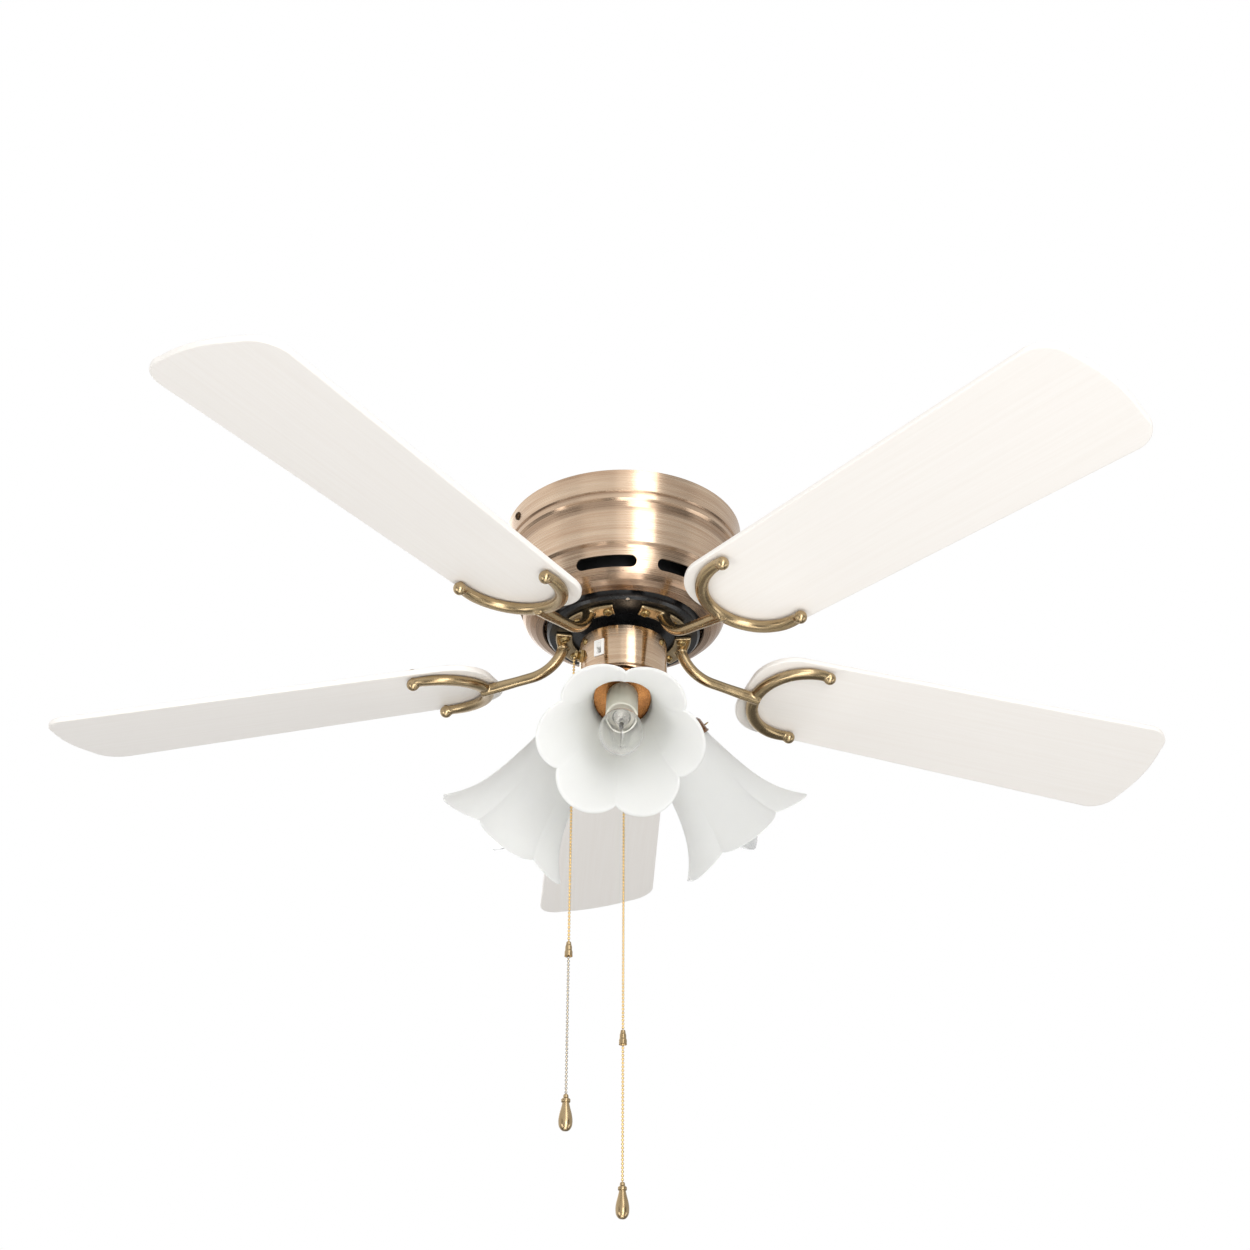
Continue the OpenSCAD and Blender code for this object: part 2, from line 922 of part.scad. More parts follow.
module shade(k) {
    rings = 9;
    sides = 48;
    neck_t = -2 / shade_l;
    turn = lobe_turn[k];
    angles = [for (j = [0:sides - 1]) turn + 360 * j / sides];
    outer = [for (i = [0:rings]) shade_ring(max(i / rings, 0), 0, angles, turn)];
    inner = [for (i = [rings:-1:0]) shade_ring(max(i / rings, 0), shade_wall, angles, turn)];
    neck_out = [for (a = angles) [shade_neck_r * cos(a), shade_neck_r * sin(a), neck_t * shade_l]];
    neck_in = [for (a = angles)
        [(shade_neck_r - shade_wall) * cos(a), (shade_neck_r - shade_wall) * sin(a), neck_t * shade_l]];
    loops = concat([neck_out], outer, inner, [neck_in]);
    points = [for (ring = loops) for (p = ring) p];
    faces = [for (i = [0:len(loops) - 1]) for (j = [0:sides - 1])
        let (
            next_i = (i + 1) % len(loops),
            next_j = (j + 1) % sides
        )
        [i * sides + j, next_i * sides + j, next_i * sides + next_j, i * sides + next_j]
    ];
    color(frosted)
        at_lamp(k)
            polyhedron(points, faces);
}

// Hanging bead chain as one thin eight-sided tube
module chain_tube(az, bottom) {
    sides = 8;
    step = 7;
    count = ceil((chain_top - bottom) / step);
    rings = [for (i = [0:count]) chain_top + (bottom - chain_top) * i / count];
    points = [for (z = rings) for (j = [0:sides - 1])
        [chain_d / 2 * cos(360 * j / sides), chain_d / 2 * sin(360 * j / sides), z]];
    walls = [for (i = [0:count - 1]) for (j = [0:sides - 1])
        let (next_j = (j + 1) % sides)
        [i * sides + j, i * sides + next_j, (i + 1) * sides + next_j, (i + 1) * sides + j]];
    ends = [[for (j = [sides - 1:-1:0]) j], [for (j = [0:sides - 1]) count * sides + j]];
    at_chain(az)
        polyhedron(points, concat(walls, ends));
}

module at_chain(az) {
    rotate([0, 0, az])
        translate([chain_r, 0, 0])
            children();
}

module connector(az, bottom) {
    color("#8A6B43")
        at_chain(az)
            translate([0, 0, bottom])
                difference() {
                    spun([
                        [0, 0], [3.2, 0], [3.2, 4.6], [2.5, 5.4], [2.5, 9],
                        [1.9, connector_h], [0, connector_h]
                    ]);
                    translate([0, 0, -1])
                        cylinder(r = chain_d / 2 + 0.1, h = connector_h + 2);
                }
}

module fob(az, top) {
    color("#B9986A")
        at_chain(az)
            translate([0, 0, top - fob_h])
                spun([
                    [0, 0], [2.6, 0.6], [4.6, 3], [5.4, 7], [4.9, 12], [3.4, 18], [2.7, 22], [3.4, 24.4],
                    [3, 27], [1.8, fob_h], [0, fob_h]
                ]);
}

module fan_chain() {
    color("#E3C98F")
        chain_tube(fan_pull_az, fan_chain_end);
}

module fan_chain_connector() {
    connector(fan_pull_az, fan_connector_z);
}

module fan_pull_fob() {
    fob(fan_pull_az, fan_chain_end);
}

module light_chain() {
    color("#E3C98F")
        chain_tube(light_pull_az, light_chain_end);
}

module light_chain_connector() {
    connector(light_pull_az, light_connector_z);
}

module light_pull_fob() {
    fob(light_pull_az, light_chain_end);
}

ceiling_plate();
terminal_block();
hanger_plate();
hanger_fasteners();
motor_shaft();
shaft_wires();
motor_housing();
housing_screws();
stator_core();
stator_windings();
bearing_inner_races();
bearing_ball_cages();
bearing_outer_races();
rotor_top_cover();
rotor_ring();
rotor_bottom_cover();
rotor_screws();
for (i = [0:blade_count - 1])
    blade_iron(i);
iron_screws();
for (i = [0:blade_count - 1])
    blade(i);
blade_screws();
switch_bracket();
switch_housing();
switch_housing_screws();
speed_switch();
light_switch();
run_capacitor();
reverse_switch();
reverse_slider();
chain_nipples();
switch_housing_cap();
light_kit_rod();
light_kit_body();
finial();
lamp_arms();
for (k = [0:lamp_count - 1])
    shade_cup(k);
lamp_holders();
candle_sleeves();
bulbs();
thumb_screws();
for (k = [0:lamp_count - 1])
    shade(k);
fan_chain();
fan_chain_connector();
fan_pull_fob();
light_chain();
light_chain_connector();
light_pull_fob();
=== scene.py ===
import math

import bmesh
import bpy
import numpy as np
from mathutils import Matrix, Vector


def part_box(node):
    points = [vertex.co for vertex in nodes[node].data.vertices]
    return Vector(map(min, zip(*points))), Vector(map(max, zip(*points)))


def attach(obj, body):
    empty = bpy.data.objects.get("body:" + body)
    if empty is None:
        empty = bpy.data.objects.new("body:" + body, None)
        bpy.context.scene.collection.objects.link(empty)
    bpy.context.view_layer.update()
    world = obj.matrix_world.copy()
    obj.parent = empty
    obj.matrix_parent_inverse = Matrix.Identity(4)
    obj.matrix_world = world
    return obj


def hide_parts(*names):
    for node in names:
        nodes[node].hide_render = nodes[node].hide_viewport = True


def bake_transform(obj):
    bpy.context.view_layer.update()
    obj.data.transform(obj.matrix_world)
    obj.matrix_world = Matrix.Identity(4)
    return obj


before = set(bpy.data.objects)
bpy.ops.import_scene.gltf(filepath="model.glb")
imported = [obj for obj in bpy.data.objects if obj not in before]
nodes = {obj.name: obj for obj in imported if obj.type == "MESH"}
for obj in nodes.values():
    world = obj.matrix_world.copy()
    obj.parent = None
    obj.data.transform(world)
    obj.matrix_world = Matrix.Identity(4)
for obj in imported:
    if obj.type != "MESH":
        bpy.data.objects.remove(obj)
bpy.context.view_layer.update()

# ---------------------------------------------------------------- sizes in millimetres
MM = 0.001
BLADE_AZIMUTHS = [21.2 + 72 * i for i in range(5)]
BLADE_DROOP = 1.0
BLADE_PITCH = 11.5
BLADE_PLANE_Z = -131.2
BLADE_THICKNESS = 5.0
TIP_X = 525.0
ROOT_X = 115.0
ROTOR_UNDERSIDE = -104.0
HORSESHOE_X = 168.0
HORSESHOE_R = 43.5
LAMP_AZIMUTHS = [269.2 + 120 * k for k in range(3)]
LAMP_TILT = 46.7
LAMP_ORIGIN = (50.1, 0, -191.7)
SHADE_LENGTH = 97.0
SHADE_WALL = 2.6
LOBE_TURNS = [-4.6, -25.3, 14.1]
THUMB_TURNS = [0, 60, 60]
THUMB_SEAT = (27.4, 0, 4)
IRON_VOXEL = 0.62
SWITCH_R = 37.5
CHAIN_R = 44.6
PULL_Z = -130.0
FAN_PULL_AZIMUTH = 200.0
LIGHT_PULL_AZIMUTH = 89.0
BEAD_DIAMETER = 2.4
BEAD_PITCH = 3.05
BLADE_SCREW_ANGLES = (80, 180, 280)
IRON_SCREW_TURNS = (-17.5, 17.5)
HOUSING_SCREW_AZIMUTHS = (27, 207)
CUP_SCREW_AZIMUTHS = (90, 210, 330)
CUP_SCREW_Z = -119.3
HOUSING_SCREW_Z = -9.5
HOUSING_SCREW_SEAT_R = 103.2
FLOOR_HALF = 900.0
FLOOR_Z = -2300.0


# ---------------------------------------------------------------- placing
def turn(axis, degrees):
    """3 by 3 matrix of a turn about one of the axes x, y or z."""
    return np.array(Matrix.Rotation(math.radians(degrees), 3, axis.upper()))


def blade_place(i):
    """Turn and shift of blade i's own axes: X along the blade, its underside at z = 0."""
    about = turn("z", BLADE_AZIMUTHS[i])
    lean = about @ turn("y", BLADE_DROOP) @ turn("x", -BLADE_PITCH)
    return lean, np.array([0, 0, BLADE_PLANE_Z])


def azimuth_place(degrees):
    """Turn that brings +X to an azimuth about the fan's axis."""
    return turn("z", degrees), np.zeros(3)


def lamp_place(k):
    """Turn and shift of lamp k's own axes: +Z out through the shade's mouth, -X upwards."""
    about = turn("z", LAMP_AZIMUTHS[k])
    return about @ turn("y", 90 + LAMP_TILT), about @ np.array(LAMP_ORIGIN)


def wall_place(degrees, z):
    """Turn and shift of axes on the fan's side wall: +Z points outwards, X points down."""
    return turn("z", degrees) @ turn("y", 90), np.array([0, 0, z])


def inside(outer, inner):
    """One placing carried by another: turns multiply, and the inner shift is turned first."""
    return outer[0] @ inner[0], outer[0] @ np.asarray(inner[1], float) + outer[1]


def placed(part, place):
    """The part with its points turned and shifted."""
    return {**part, "points": part["points"] @ place[0].T + place[1]}


# ---------------------------------------------------------------- outlines, as [radius, height]
def lengths(line):
    """Distance run along a line of points, from 0 at its start."""
    return np.concatenate([[0], np.cumsum(np.linalg.norm(np.diff(line, axis=0), axis=1))])


def rounded(outline, radius, steps=4, closed=False):
    """Each corner becomes a short parabola from a point up to radius before it to one as far after it."""
    p = np.asarray(outline, float)
    before, after = np.roll(p, 1, axis=0) - p, np.roll(p, -1, axis=0) - p
    a, b = (np.linalg.norm(v, axis=1, keepdims=True) + 1e-9 for v in (before, after))
    r = np.broadcast_to(np.asarray(radius, float).reshape(-1, 1), a.shape)
    start = (p + before / a * np.minimum(r, 0.45 * a))[:, None]
    end = (p + after / b * np.minimum(r, 0.45 * b))[:, None]
    t = np.linspace(0, 1, steps + 1)[None, :, None]
    bent = (1 - t) ** 2 * start + 2 * t * (1 - t) * p[:, None] + t**2 * end
    if closed:
        return bent.reshape(-1, 2)
    return np.concatenate([p[:1], bent[1:-1].reshape(-1, 2), p[-1:]])


def flowing(outline, count):
    """Smooth line through the points: each span is a cubic whose end slopes follow its neighbours."""
    p = np.asarray(outline, float)
    at = lengths(p)
    slope = np.gradient(p, at, axis=0)
    s = np.linspace(0, at[-1], count)
    i = np.clip(np.searchsorted(at, s, side="right") - 1, 0, len(p) - 2)
    span = (at[i + 1] - at[i])[:, None]
    t = ((s - at[i])[:, None]) / span
    return (
        (1 + 2 * t) * (1 - t) ** 2 * p[i]
        + t * (1 - t) ** 2 * span * slope[i]
        + t**2 * (3 - 2 * t) * p[i + 1]
        + t**2 * (t - 1) * span * slope[i + 1]
    )


# ---------------------------------------------------------------- surfaces on a grid
def surface(points, lay=None, close_rows=False, close_cols=True, finish=0):
    """A grid of points, or a stack of such grids, with the pattern coordinates that its finish follows."""
    points = np.asarray(points, float)
    lay = points if lay is None else np.broadcast_to(lay, points.shape)
    return dict(points=points, lay=lay, rows=close_rows, cols=close_cols, finish=finish)


def turned(outline, sides, closed=False, finish=0):
    """Each outline point goes once round Z. The pattern runs round with the angle and down with the outline."""
    o = np.asarray(outline, float)
    a = np.linspace(0, 2 * np.pi, sides, endpoint=False)
    ring = np.stack([np.cos(a), np.sin(a), 0 * a], axis=1)
    points = o[:, 0, None, None] * ring + np.array([0, 0, 1]) * o[:, 1, None, None]
    lay = 20 * ring + np.array([0, 0, 1]) * lengths(o)[:, None, None]
    return surface(points, lay, close_rows=closed, finish=finish)


def swept(path, side, section, finish=0):
    """A section carried along a plane path: its first axis is the plane's normal, its second lies in the plane. Each
    end closes on the path's own end point."""
    path, side = np.asarray(path, float), np.asarray(side, float)
    along = np.gradient(path, axis=0)
    along /= np.linalg.norm(along, axis=1, keepdims=True)
    across = np.cross(along, side)
    section = np.broadcast_to(section, (len(path),) + np.shape(section)[-2:])
    points = path[:, None] + section[..., :1] * side + section[..., 1:] * across[:, None]
    run = lengths(path)[:, None] * np.array([0, 0, 1])
    lay = np.concatenate([section, 0 * section[..., :1]], axis=-1) + run[:, None]
    points = np.concatenate([0 * points[:1] + path[0], points, 0 * points[:1] + path[-1]])
    lay = np.concatenate([lay[:1], lay, lay[-1:]])
    return surface(points, lay, finish=finish)


def circle(radius, sides):
    """Points evenly round a circle, as radius times the cosine and sine of the angle."""
    a = np.linspace(0, 2 * np.pi, sides, endpoint=False)
    return np.stack([radius * np.cos(a), radius * np.sin(a)], axis=1)


def ball(radius, rows, sides, centre=(0, 0, 0)):
    """A sphere: circles of radius r sin(u) at heights r cos(u)."""
    u = np.linspace(0, np.pi, rows)
    half_circle = np.stack([radius * np.sin(u), radius * np.cos(u)], axis=1)
    return placed(turned(half_circle, sides), (np.eye(3), np.asarray(centre, float)))


def screw_head(radius, height, recess, depth):
    """A dome on a square grid bent to a disc, x = u sqrt(1 - v^2 / 2) and the same for y, with a height that falls as
    sqrt(1 - 0.92 r^2). Cells inside the recess go down by its depth, and a wall closes it."""
    g = np.linspace(-1, 1, 25)
    u, v = np.meshgrid(g, g, indexing="ij")
    x, y = u * np.sqrt(1 - v * v / 2), v * np.sqrt(1 - u * u / 2)
    r2 = np.clip(x * x + y * y, 0, 1)
    arm, reach = 0.17, 0.62
    slot = np.abs(v) < arm
    cross = ((np.abs(u) < arm) & (np.abs(v) < reach)) | (slot & (np.abs(u) < reach))
    z = height * np.sqrt(1 - 0.92 * r2) - depth * {"cross": cross, "slot": slot}[recess]
    top = np.stack([radius * x, radius * y, z], axis=-1)
    rim = np.concatenate([top[0, :-1], top[:-1, -1], top[-1, :0:-1], top[:0:-1, 0]])
    base = rim * [1, 1, 0]
    return [surface(top, close_cols=False), surface(np.stack([rim, base, 0 * base]))]


def bead_run(path, bead_d, pitch, finish=0):
    """Round beads at every pitch along the path: one small sphere, shifted to each centre."""
    at = lengths(path)
    stops = np.arange(bead_d / 2, at[-1] - bead_d / 2, pitch)
    centres = np.stack([np.interp(stops, at, path[:, k]) for k in range(3)], axis=1)
    bead = ball(bead_d / 2, rows=7, sides=10)
    points = centres[:, None, None] + bead["points"]
    return surface(points, np.broadcast_to(bead["lay"], points.shape), finish=finish)


# ---------------------------------------------------------------- pieces
def quads(rows, cols, close_rows, close_cols):
    """Each quad joins a grid point to the next in its row and column; a closed side wraps round."""
    i = np.arange(rows if close_rows else rows - 1)[:, None]
    j = np.arange(cols if close_cols else cols - 1)[None, :]
    a, b = i * cols + j, i * cols + (j + 1) % cols
    k = (i + 1) % rows
    return np.stack([a, b, k * cols + (j + 1) % cols, k * cols + j], axis=-1).reshape(-1, 4)


def joined(name, parts):
    """One mesh from the parts, in metres, with doubles merged, closed poles and outward faces."""
    points, lays, faces, finishes, offset = [], [], [], [], 0
    for part in parts:
        rows, cols = part["points"].shape[-3:-1]
        one = quads(rows, cols, part["rows"], part["cols"])
        copies = part["points"].size // (rows * cols * 3)
        starts = offset + rows * cols * np.arange(copies)
        faces.append((one[None] + starts[:, None, None]).reshape(-1, 4))
        finishes.append(np.full(len(faces[-1]), part["finish"]))
        points.append(part["points"].reshape(-1, 3))
        lays.append(part["lay"].reshape(-1, 3))
        offset += copies * rows * cols
    mesh = bpy.data.meshes.new(name)
    mesh.from_pydata((np.concatenate(points) * MM).tolist(), [], np.concatenate(faces).tolist())
    lay = mesh.attributes.new("lay", "FLOAT_VECTOR", "POINT")
    lay.data.foreach_set("vector", (np.concatenate(lays) * MM).ravel())
    mesh.polygons.foreach_set("material_index", np.concatenate(finishes))
    tidy = bmesh.new()
    tidy.from_mesh(mesh)
    bmesh.ops.remove_doubles(tidy, verts=tidy.verts, dist=1e-6)
    bmesh.ops.dissolve_degenerate(tidy, edges=tidy.edges, dist=1e-7)
    bmesh.ops.recalc_face_normals(tidy, faces=tidy.faces)
    tidy.to_mesh(mesh)
    tidy.free()
    return mesh


def piece(name, mesh, body, finishes, replaces, sharp=38):
    """An object for the mesh that rides on a body, with smooth faces and creases above an angle in degrees."""
    mesh.polygons.foreach_set("use_smooth", np.ones(len(mesh.polygons), bool))
    mesh.set_sharp_from_angle(angle=math.radians(sharp))
    for finish in finishes:
        mesh.materials.append(finish)
    obj = bpy.data.objects.new(name, mesh)
    bpy.context.scene.collection.objects.link(obj)
    if body:
        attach(obj, body)
    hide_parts(*replaces)
    return obj


def moved_mesh(mesh, name, place):
    """A copy of a mesh with its points turned and shifted; its pattern coordinates stay."""
    copy = mesh.copy()
    copy.name = name
    co = np.zeros(len(copy.vertices) * 3)
    copy.vertices.foreach_get("co", co)
    copy.vertices.foreach_set("co", (co.reshape(-1, 3) @ place[0].T + np.asarray(place[1]) * MM).ravel())
    copy.update()
    return copy


# ---------------------------------------------------------------- camera
# It looks up from below and in front; the aim and the distance are in millimetres, the roll in degrees
FIELD_LENS = 55.81
AIM = np.array([1.35, 0, -91.44])
LOOK_UP = math.radians(30.53)
DISTANCE = 1682.2
ROLL = 0.19

camera = bpy.data.objects.new("camera", bpy.data.cameras.new("camera"))
bpy.context.scene.collection.objects.link(camera)
look = np.array([0, math.cos(LOOK_UP), math.sin(LOOK_UP)])
camera.location = (AIM - DISTANCE * look) * MM
camera.rotation_mode = "QUATERNION"
camera.rotation_quaternion = Vector(look).to_track_quat("-Z", "Y") @ Matrix.Rotation(
    math.radians(ROLL), 3, "Z"
).to_quaternion()
camera.data.lens = FIELD_LENS
camera.data.sensor_width = 36
camera.data.clip_start, camera.data.clip_end = 0.05, 60
camera.data.dof.use_dof = False
bpy.context.scene.camera = camera


# ---------------------------------------------------------------- materials
def linear(code):
    """Linear red, green, blue and alpha of an sRGB hex colour."""
    c = np.array([int(code[i : i + 2], 16) for i in (1, 3, 5)]) / 255
    return tuple(np.where(c <= 0.04045, c / 12.92, ((c + 0.055) / 1.055) ** 2.4)) + (1.0,)


def add(tree, kind, inputs=None, stops=(), **settings):
    """Adds one node: settings are its properties, inputs are values, or sockets to link, and stops are the
    positions along a ramp with a hex colour or a grey at each."""
    new = tree.nodes.new(kind)
    for key, value in settings.items():
        setattr(new, key, value)
    for key, value in (inputs or {}).items():
        if isinstance(value, bpy.types.NodeSocket):
            tree.links.new(value, new.inputs[key])
        else:
            new.inputs[key].default_value = value
    for _ in stops[2:]:
        new.color_ramp.elements.new(0.5)
    for i, (position, colour) in enumerate(stops):
        new.color_ramp.elements[i].position = position
        new.color_ramp.elements[i].color = linear(colour) if isinstance(colour, str) else (colour, colour, colour, 1)
    return new


def shaded(name, **sockets):
    """A material with one Principled shader, its own sockets set; returns the material and its tree."""
    made = bpy.data.materials.new(name)
    made.use_nodes = True
    tree = made.node_tree
    shader = tree.nodes["Principled BSDF"]
    for key, value in sockets.items():
        shader.inputs[key.replace("_", " ")].default_value = value
    return made, tree, shader.inputs


def pattern_at(tree, own):
    """Pattern coordinates in metres: the piece's own lay, or the object's coordinates."""
    if own:
        return add(tree, "ShaderNodeAttribute", attribute_name="lay").outputs["Vector"]
    return add(tree, "ShaderNodeTexCoord").outputs["Object"]


def ring_coordinates(tree, place, round_scale, across_scale):
    """Coordinates for marks that run round Z: slow round the axis, fast in height plus 0.73 of the radius."""
    x, y, z = add(tree, "ShaderNodeSeparateXYZ", {0: place}).outputs[:3]
    flat = add(tree, "ShaderNodeCombineXYZ", {0: x, 1: y}).outputs[0]
    radius = add(tree, "ShaderNodeVectorMath", {0: flat}, operation="LENGTH").outputs["Value"]
    both = add(tree, "ShaderNodeMath", {0: radius, 1: 0.73, 2: z}, operation="MULTIPLY_ADD").outputs[0]
    rings = add(tree, "ShaderNodeCombineXYZ", {0: x, 1: y, 2: both}).outputs[0]
    scales = (round_scale, round_scale, across_scale)
    return add(tree, "ShaderNodeVectorMath", {0: rings, 1: scales}, operation="MULTIPLY").outputs[0]


def dressed(tree, into, colour, gloss, rough, relief, strength, depth, gloss_span=(0.3, 0.7)):
    """Links a finish to its shader: the colour; a roughness that runs between the two values of rough as gloss runs
    over its span; and a bump of that strength and depth in millimetres from relief."""
    roughness = add(tree, "ShaderNodeMapRange", {
        "Value": gloss, "From Min": gloss_span[0], "From Max": gloss_span[1], "To Min": rough[0], "To Max": rough[1],
    })
    bump = add(tree, "ShaderNodeBump", {"Strength": strength, "Distance": depth * MM, "Height": relief})
    tree.links.new(colour, into["Base Color"])
    tree.links.new(roughness.outputs[0], into["Roughness"])
    tree.links.new(bump.outputs[0], into["Normal"])


def brushed_brass(name, dark, light, painted_shade_pairs, rough):
    """Sheet brass, lacquered antique and brushed round its axis: long fine lines draw highlights out across them. A
    brown painted shade darkens its steps and low parts, standing in for dark reflections and shade there, given as
    pairs of millimetres below the ceiling and share."""
    made, tree, into = shaded(
        name, Metallic=1.0, Anisotropic=0.85, Anisotropic_Rotation=0.25, Coat_Weight=0.12, Coat_Roughness=0.06
    )
    place = pattern_at(tree, False)
    # Lines about 0.7 mm apart, coarser than the real 0.1 mm so that they show
    fine_at, broad_at = ring_coordinates(tree, place, 9, 1400), ring_coordinates(tree, place, 14, 160)
    fine = add(tree, "ShaderNodeTexNoise", {"Vector": fine_at, "Scale": 1.0, "Detail": 3.0}).outputs[0]
    broad = add(tree, "ShaderNodeTexNoise", {"Vector": broad_at, "Scale": 1.0, "Detail": 2.0}).outputs[0]
    mixed = add(tree, "ShaderNodeMath", {0: fine, 1: broad}, operation="ADD").outputs[0]
    tone = add(tree, "ShaderNodeMapRange", {"Value": mixed, "From Min": 0.7, "From Max": 1.3}).outputs[0]
    clean = add(tree, "ShaderNodeValToRGB", {0: tone}, [(0.0, dark), (1.0, light)]).outputs[0]
    # Painted shade: brown mixed in by height over the steps and low parts, in place of dark reflections and shade
    # there
    height = add(tree, "ShaderNodeSeparateXYZ", {0: place}).outputs[2]
    down = add(tree, "ShaderNodeMapRange", {"Value": height, "From Max": -PAINTED_SHADE_REACH * MM}).outputs[0]
    painted_shade_stops = [(at / PAINTED_SHADE_REACH, share) for at, share in painted_shade_pairs]
    painted_shade_share = add(tree, "ShaderNodeValToRGB", {0: down}, painted_shade_stops).outputs[0]
    brown = add(tree, "ShaderNodeMath", {0: painted_shade_share, 1: broad}, operation="MULTIPLY", use_clamp=True).outputs[0]
    # 6F4F38 is the painted shade's dark brown
    painted_shade_colour = add(tree, "ShaderNodeMix", {0: brown, 6: clean, 7: linear("#6F4F38")}, data_type="RGBA").outputs[2]
    dressed(tree, into, painted_shade_colour, fine, (rough - 0.06, rough + 0.1), fine, 0.06, 0.2)
    around = add(tree, "ShaderNodeTangent", direction_type="RADIAL", axis="Z")
    tree.links.new(around.outputs[0], into["Tangent"])
    return made


def mottled_metal(name, own, dark, light, rough, grain, bump=0.1, coat=0.0):
    """Cast or pressed metal: soft mottling a few millimetres wide, and a faint grain that breaks up its gloss."""
    made, tree, into = shaded(name, Metallic=1.0, Coat_Weight=coat, Coat_Roughness=0.1)
    place = pattern_at(tree, own)
    cloud_at = {"Vector": place, "Scale": grain, "Detail": 4.0, "Roughness": 0.6}
    cloud = add(tree, "ShaderNodeTexNoise", cloud_at).outputs[0]
    fleck = add(tree, "ShaderNodeTexNoise", {"Vector": place, "Scale": grain * 6, "Detail": 2.0}).outputs[0]
    colour = add(tree, "ShaderNodeValToRGB", {0: cloud}, [(0.3, dark), (0.7, light)]).outputs[0]
    dressed(tree, into, colour, fleck, (rough - 0.02, rough + 0.04), fleck, bump, 0.2)
    return made


def plastic(name, dark, light, rough, coat=0.0, grain=900.0):
    """Moulded plastic: nearly even colour, with a fine spark-eroded grain in its gloss."""
    made, tree, into = shaded(name, IOR=1.46, Coat_Weight=coat, Coat_Roughness=0.15)
    place = pattern_at(tree, False)
    cloud = add(tree, "ShaderNodeTexNoise", {"Vector": place, "Scale": 40.0, "Detail": 3.0}).outputs[0]
    fleck = add(tree, "ShaderNodeTexNoise", {"Vector": place, "Scale": grain, "Detail": 2.0}).outputs[0]
    colour = add(tree, "ShaderNodeValToRGB", {0: cloud}, [(0.3, dark), (0.7, light)]).outputs[0]
    dressed(tree, into, colour, fleck, (rough - 0.05, rough + 0.06), fleck, 0.08, 0.1)
    return made


def blade_laminate(name):
    """MDF under a satin white foil: a very faint grain along the blade and an even soft gloss."""
    made, tree, into = shaded(name, IOR=1.5, Coat_Weight=0.1, Coat_Roughness=0.3)
    place = pattern_at(tree, True)
    # Grain 3 mm across and 150 mm long
    drawn_out = add(tree, "ShaderNodeVectorMath", {0: place, 1: (7, 330, 330)}, operation="MULTIPLY").outputs[0]
    grain_at = {"Vector": drawn_out, "Scale": 1.0, "Detail": 5.0, "Roughness": 0.65, "Distortion": 0.4}
    grain = add(tree, "ShaderNodeTexNoise", grain_at).outputs[0]
    pores = add(tree, "ShaderNodeTexNoise", {"Vector": place, "Scale": 1500.0, "Detail": 2.0}).outputs[0]
    colour = add(tree, "ShaderNodeValToRGB", {0: grain}, [(0.3, "#E9E4DE"), (0.7, "#ECE8E3")]).outputs[0]
    relief = add(tree, "ShaderNodeMath", {0: pores, 1: 0.3, 2: grain}, operation="MULTIPLY_ADD").outputs[0]
    dressed(tree, into, colour, grain, (0.42, 0.38), relief, 0.02, 0.1)
    return made


def frosted_glass(name):
    """Opal glass, acid-etched: milky, lit from within by what passes through, with a fine silky grain."""
    made, tree, into = shaded(
        name, IOR=1.5, Transmission_Weight=0.2, Subsurface_Weight=0.8, Subsurface_Scale=0.02,
        Subsurface_Radius=(1.0, 1.0, 0.95), Specular_IOR_Level=0.35,
    )
    place = pattern_at(tree, True)
    cloud = add(tree, "ShaderNodeTexNoise", {"Vector": place, "Scale": 30.0, "Detail": 3.0}).outputs[0]
    etch = add(tree, "ShaderNodeTexNoise", {"Vector": place, "Scale": 2200.0, "Detail": 2.0}).outputs[0]
    colour = add(tree, "ShaderNodeValToRGB", {0: cloud}, [(0.3, "#F8F9F2"), (0.7, "#FBFCF5")]).outputs[0]
    dressed(tree, into, colour, etch, (0.5, 0.62), etch, 0.08, 0.1)
    return made


def clear_glass(name):
    """Thin blown lamp glass: clear, with a slight waviness from blowing."""
    made, tree, into = shaded(name, IOR=1.45, Transmission_Weight=1.0, Roughness=0.015)
    wave_at = {"Vector": pattern_at(tree, True), "Scale": 70.0, "Detail": 1.0}
    wave = add(tree, "ShaderNodeTexNoise", wave_at).outputs[0]
    colour = add(tree, "ShaderNodeValToRGB", {0: wave}, [(0.3, "#FAFBFA"), (0.7, "#FFFFFF")])
    bump = add(tree, "ShaderNodeBump", {"Strength": 0.03, "Distance": 1.0 * MM, "Height": wave})
    tree.links.new(colour.outputs[0], into["Base Color"])
    tree.links.new(bump.outputs[0], into["Normal"])
    return made


def zinc_plate(name):
    """Zinc-plated steel: small crystals a few millimetres across, each with its own tone."""
    made, tree, into = shaded(name, Metallic=1.0)
    crystal = add(tree, "ShaderNodeTexVoronoi", {"Vector": pattern_at(tree, False), "Scale": 260.0}).outputs
    tone = add(tree, "ShaderNodeSeparateColor", {0: crystal["Color"]}).outputs[0]
    colour = add(tree, "ShaderNodeValToRGB", {0: tone}, [(0.0, "#9FA1A3"), (1.0, "#C3C5C8")]).outputs[0]
    dressed(tree, into, colour, tone, (0.28, 0.44), crystal["Distance"], 0.08, 0.2, gloss_span=(0, 1))
    return made


def stacked_steel(name):
    """Punched core plates, 0.5 mm each, in a stack: a dark line between each pair."""
    made, tree, into = shaded(name, Metallic=1.0)
    line_at = {"Vector": pattern_at(tree, False), "Scale": 320.0, "Distortion": 0.3, "Detail": 1.0}
    line = add(tree, "ShaderNodeTexWave", line_at, bands_direction="Z").outputs[1]
    colour = add(tree, "ShaderNodeValToRGB", {0: line}, [(0.1, "#3E4043"), (0.6, "#8B8E92")]).outputs[0]
    dressed(tree, into, colour, line, (0.6, 0.35), line, 0.3, 0.2, gloss_span=(0, 1))
    return made


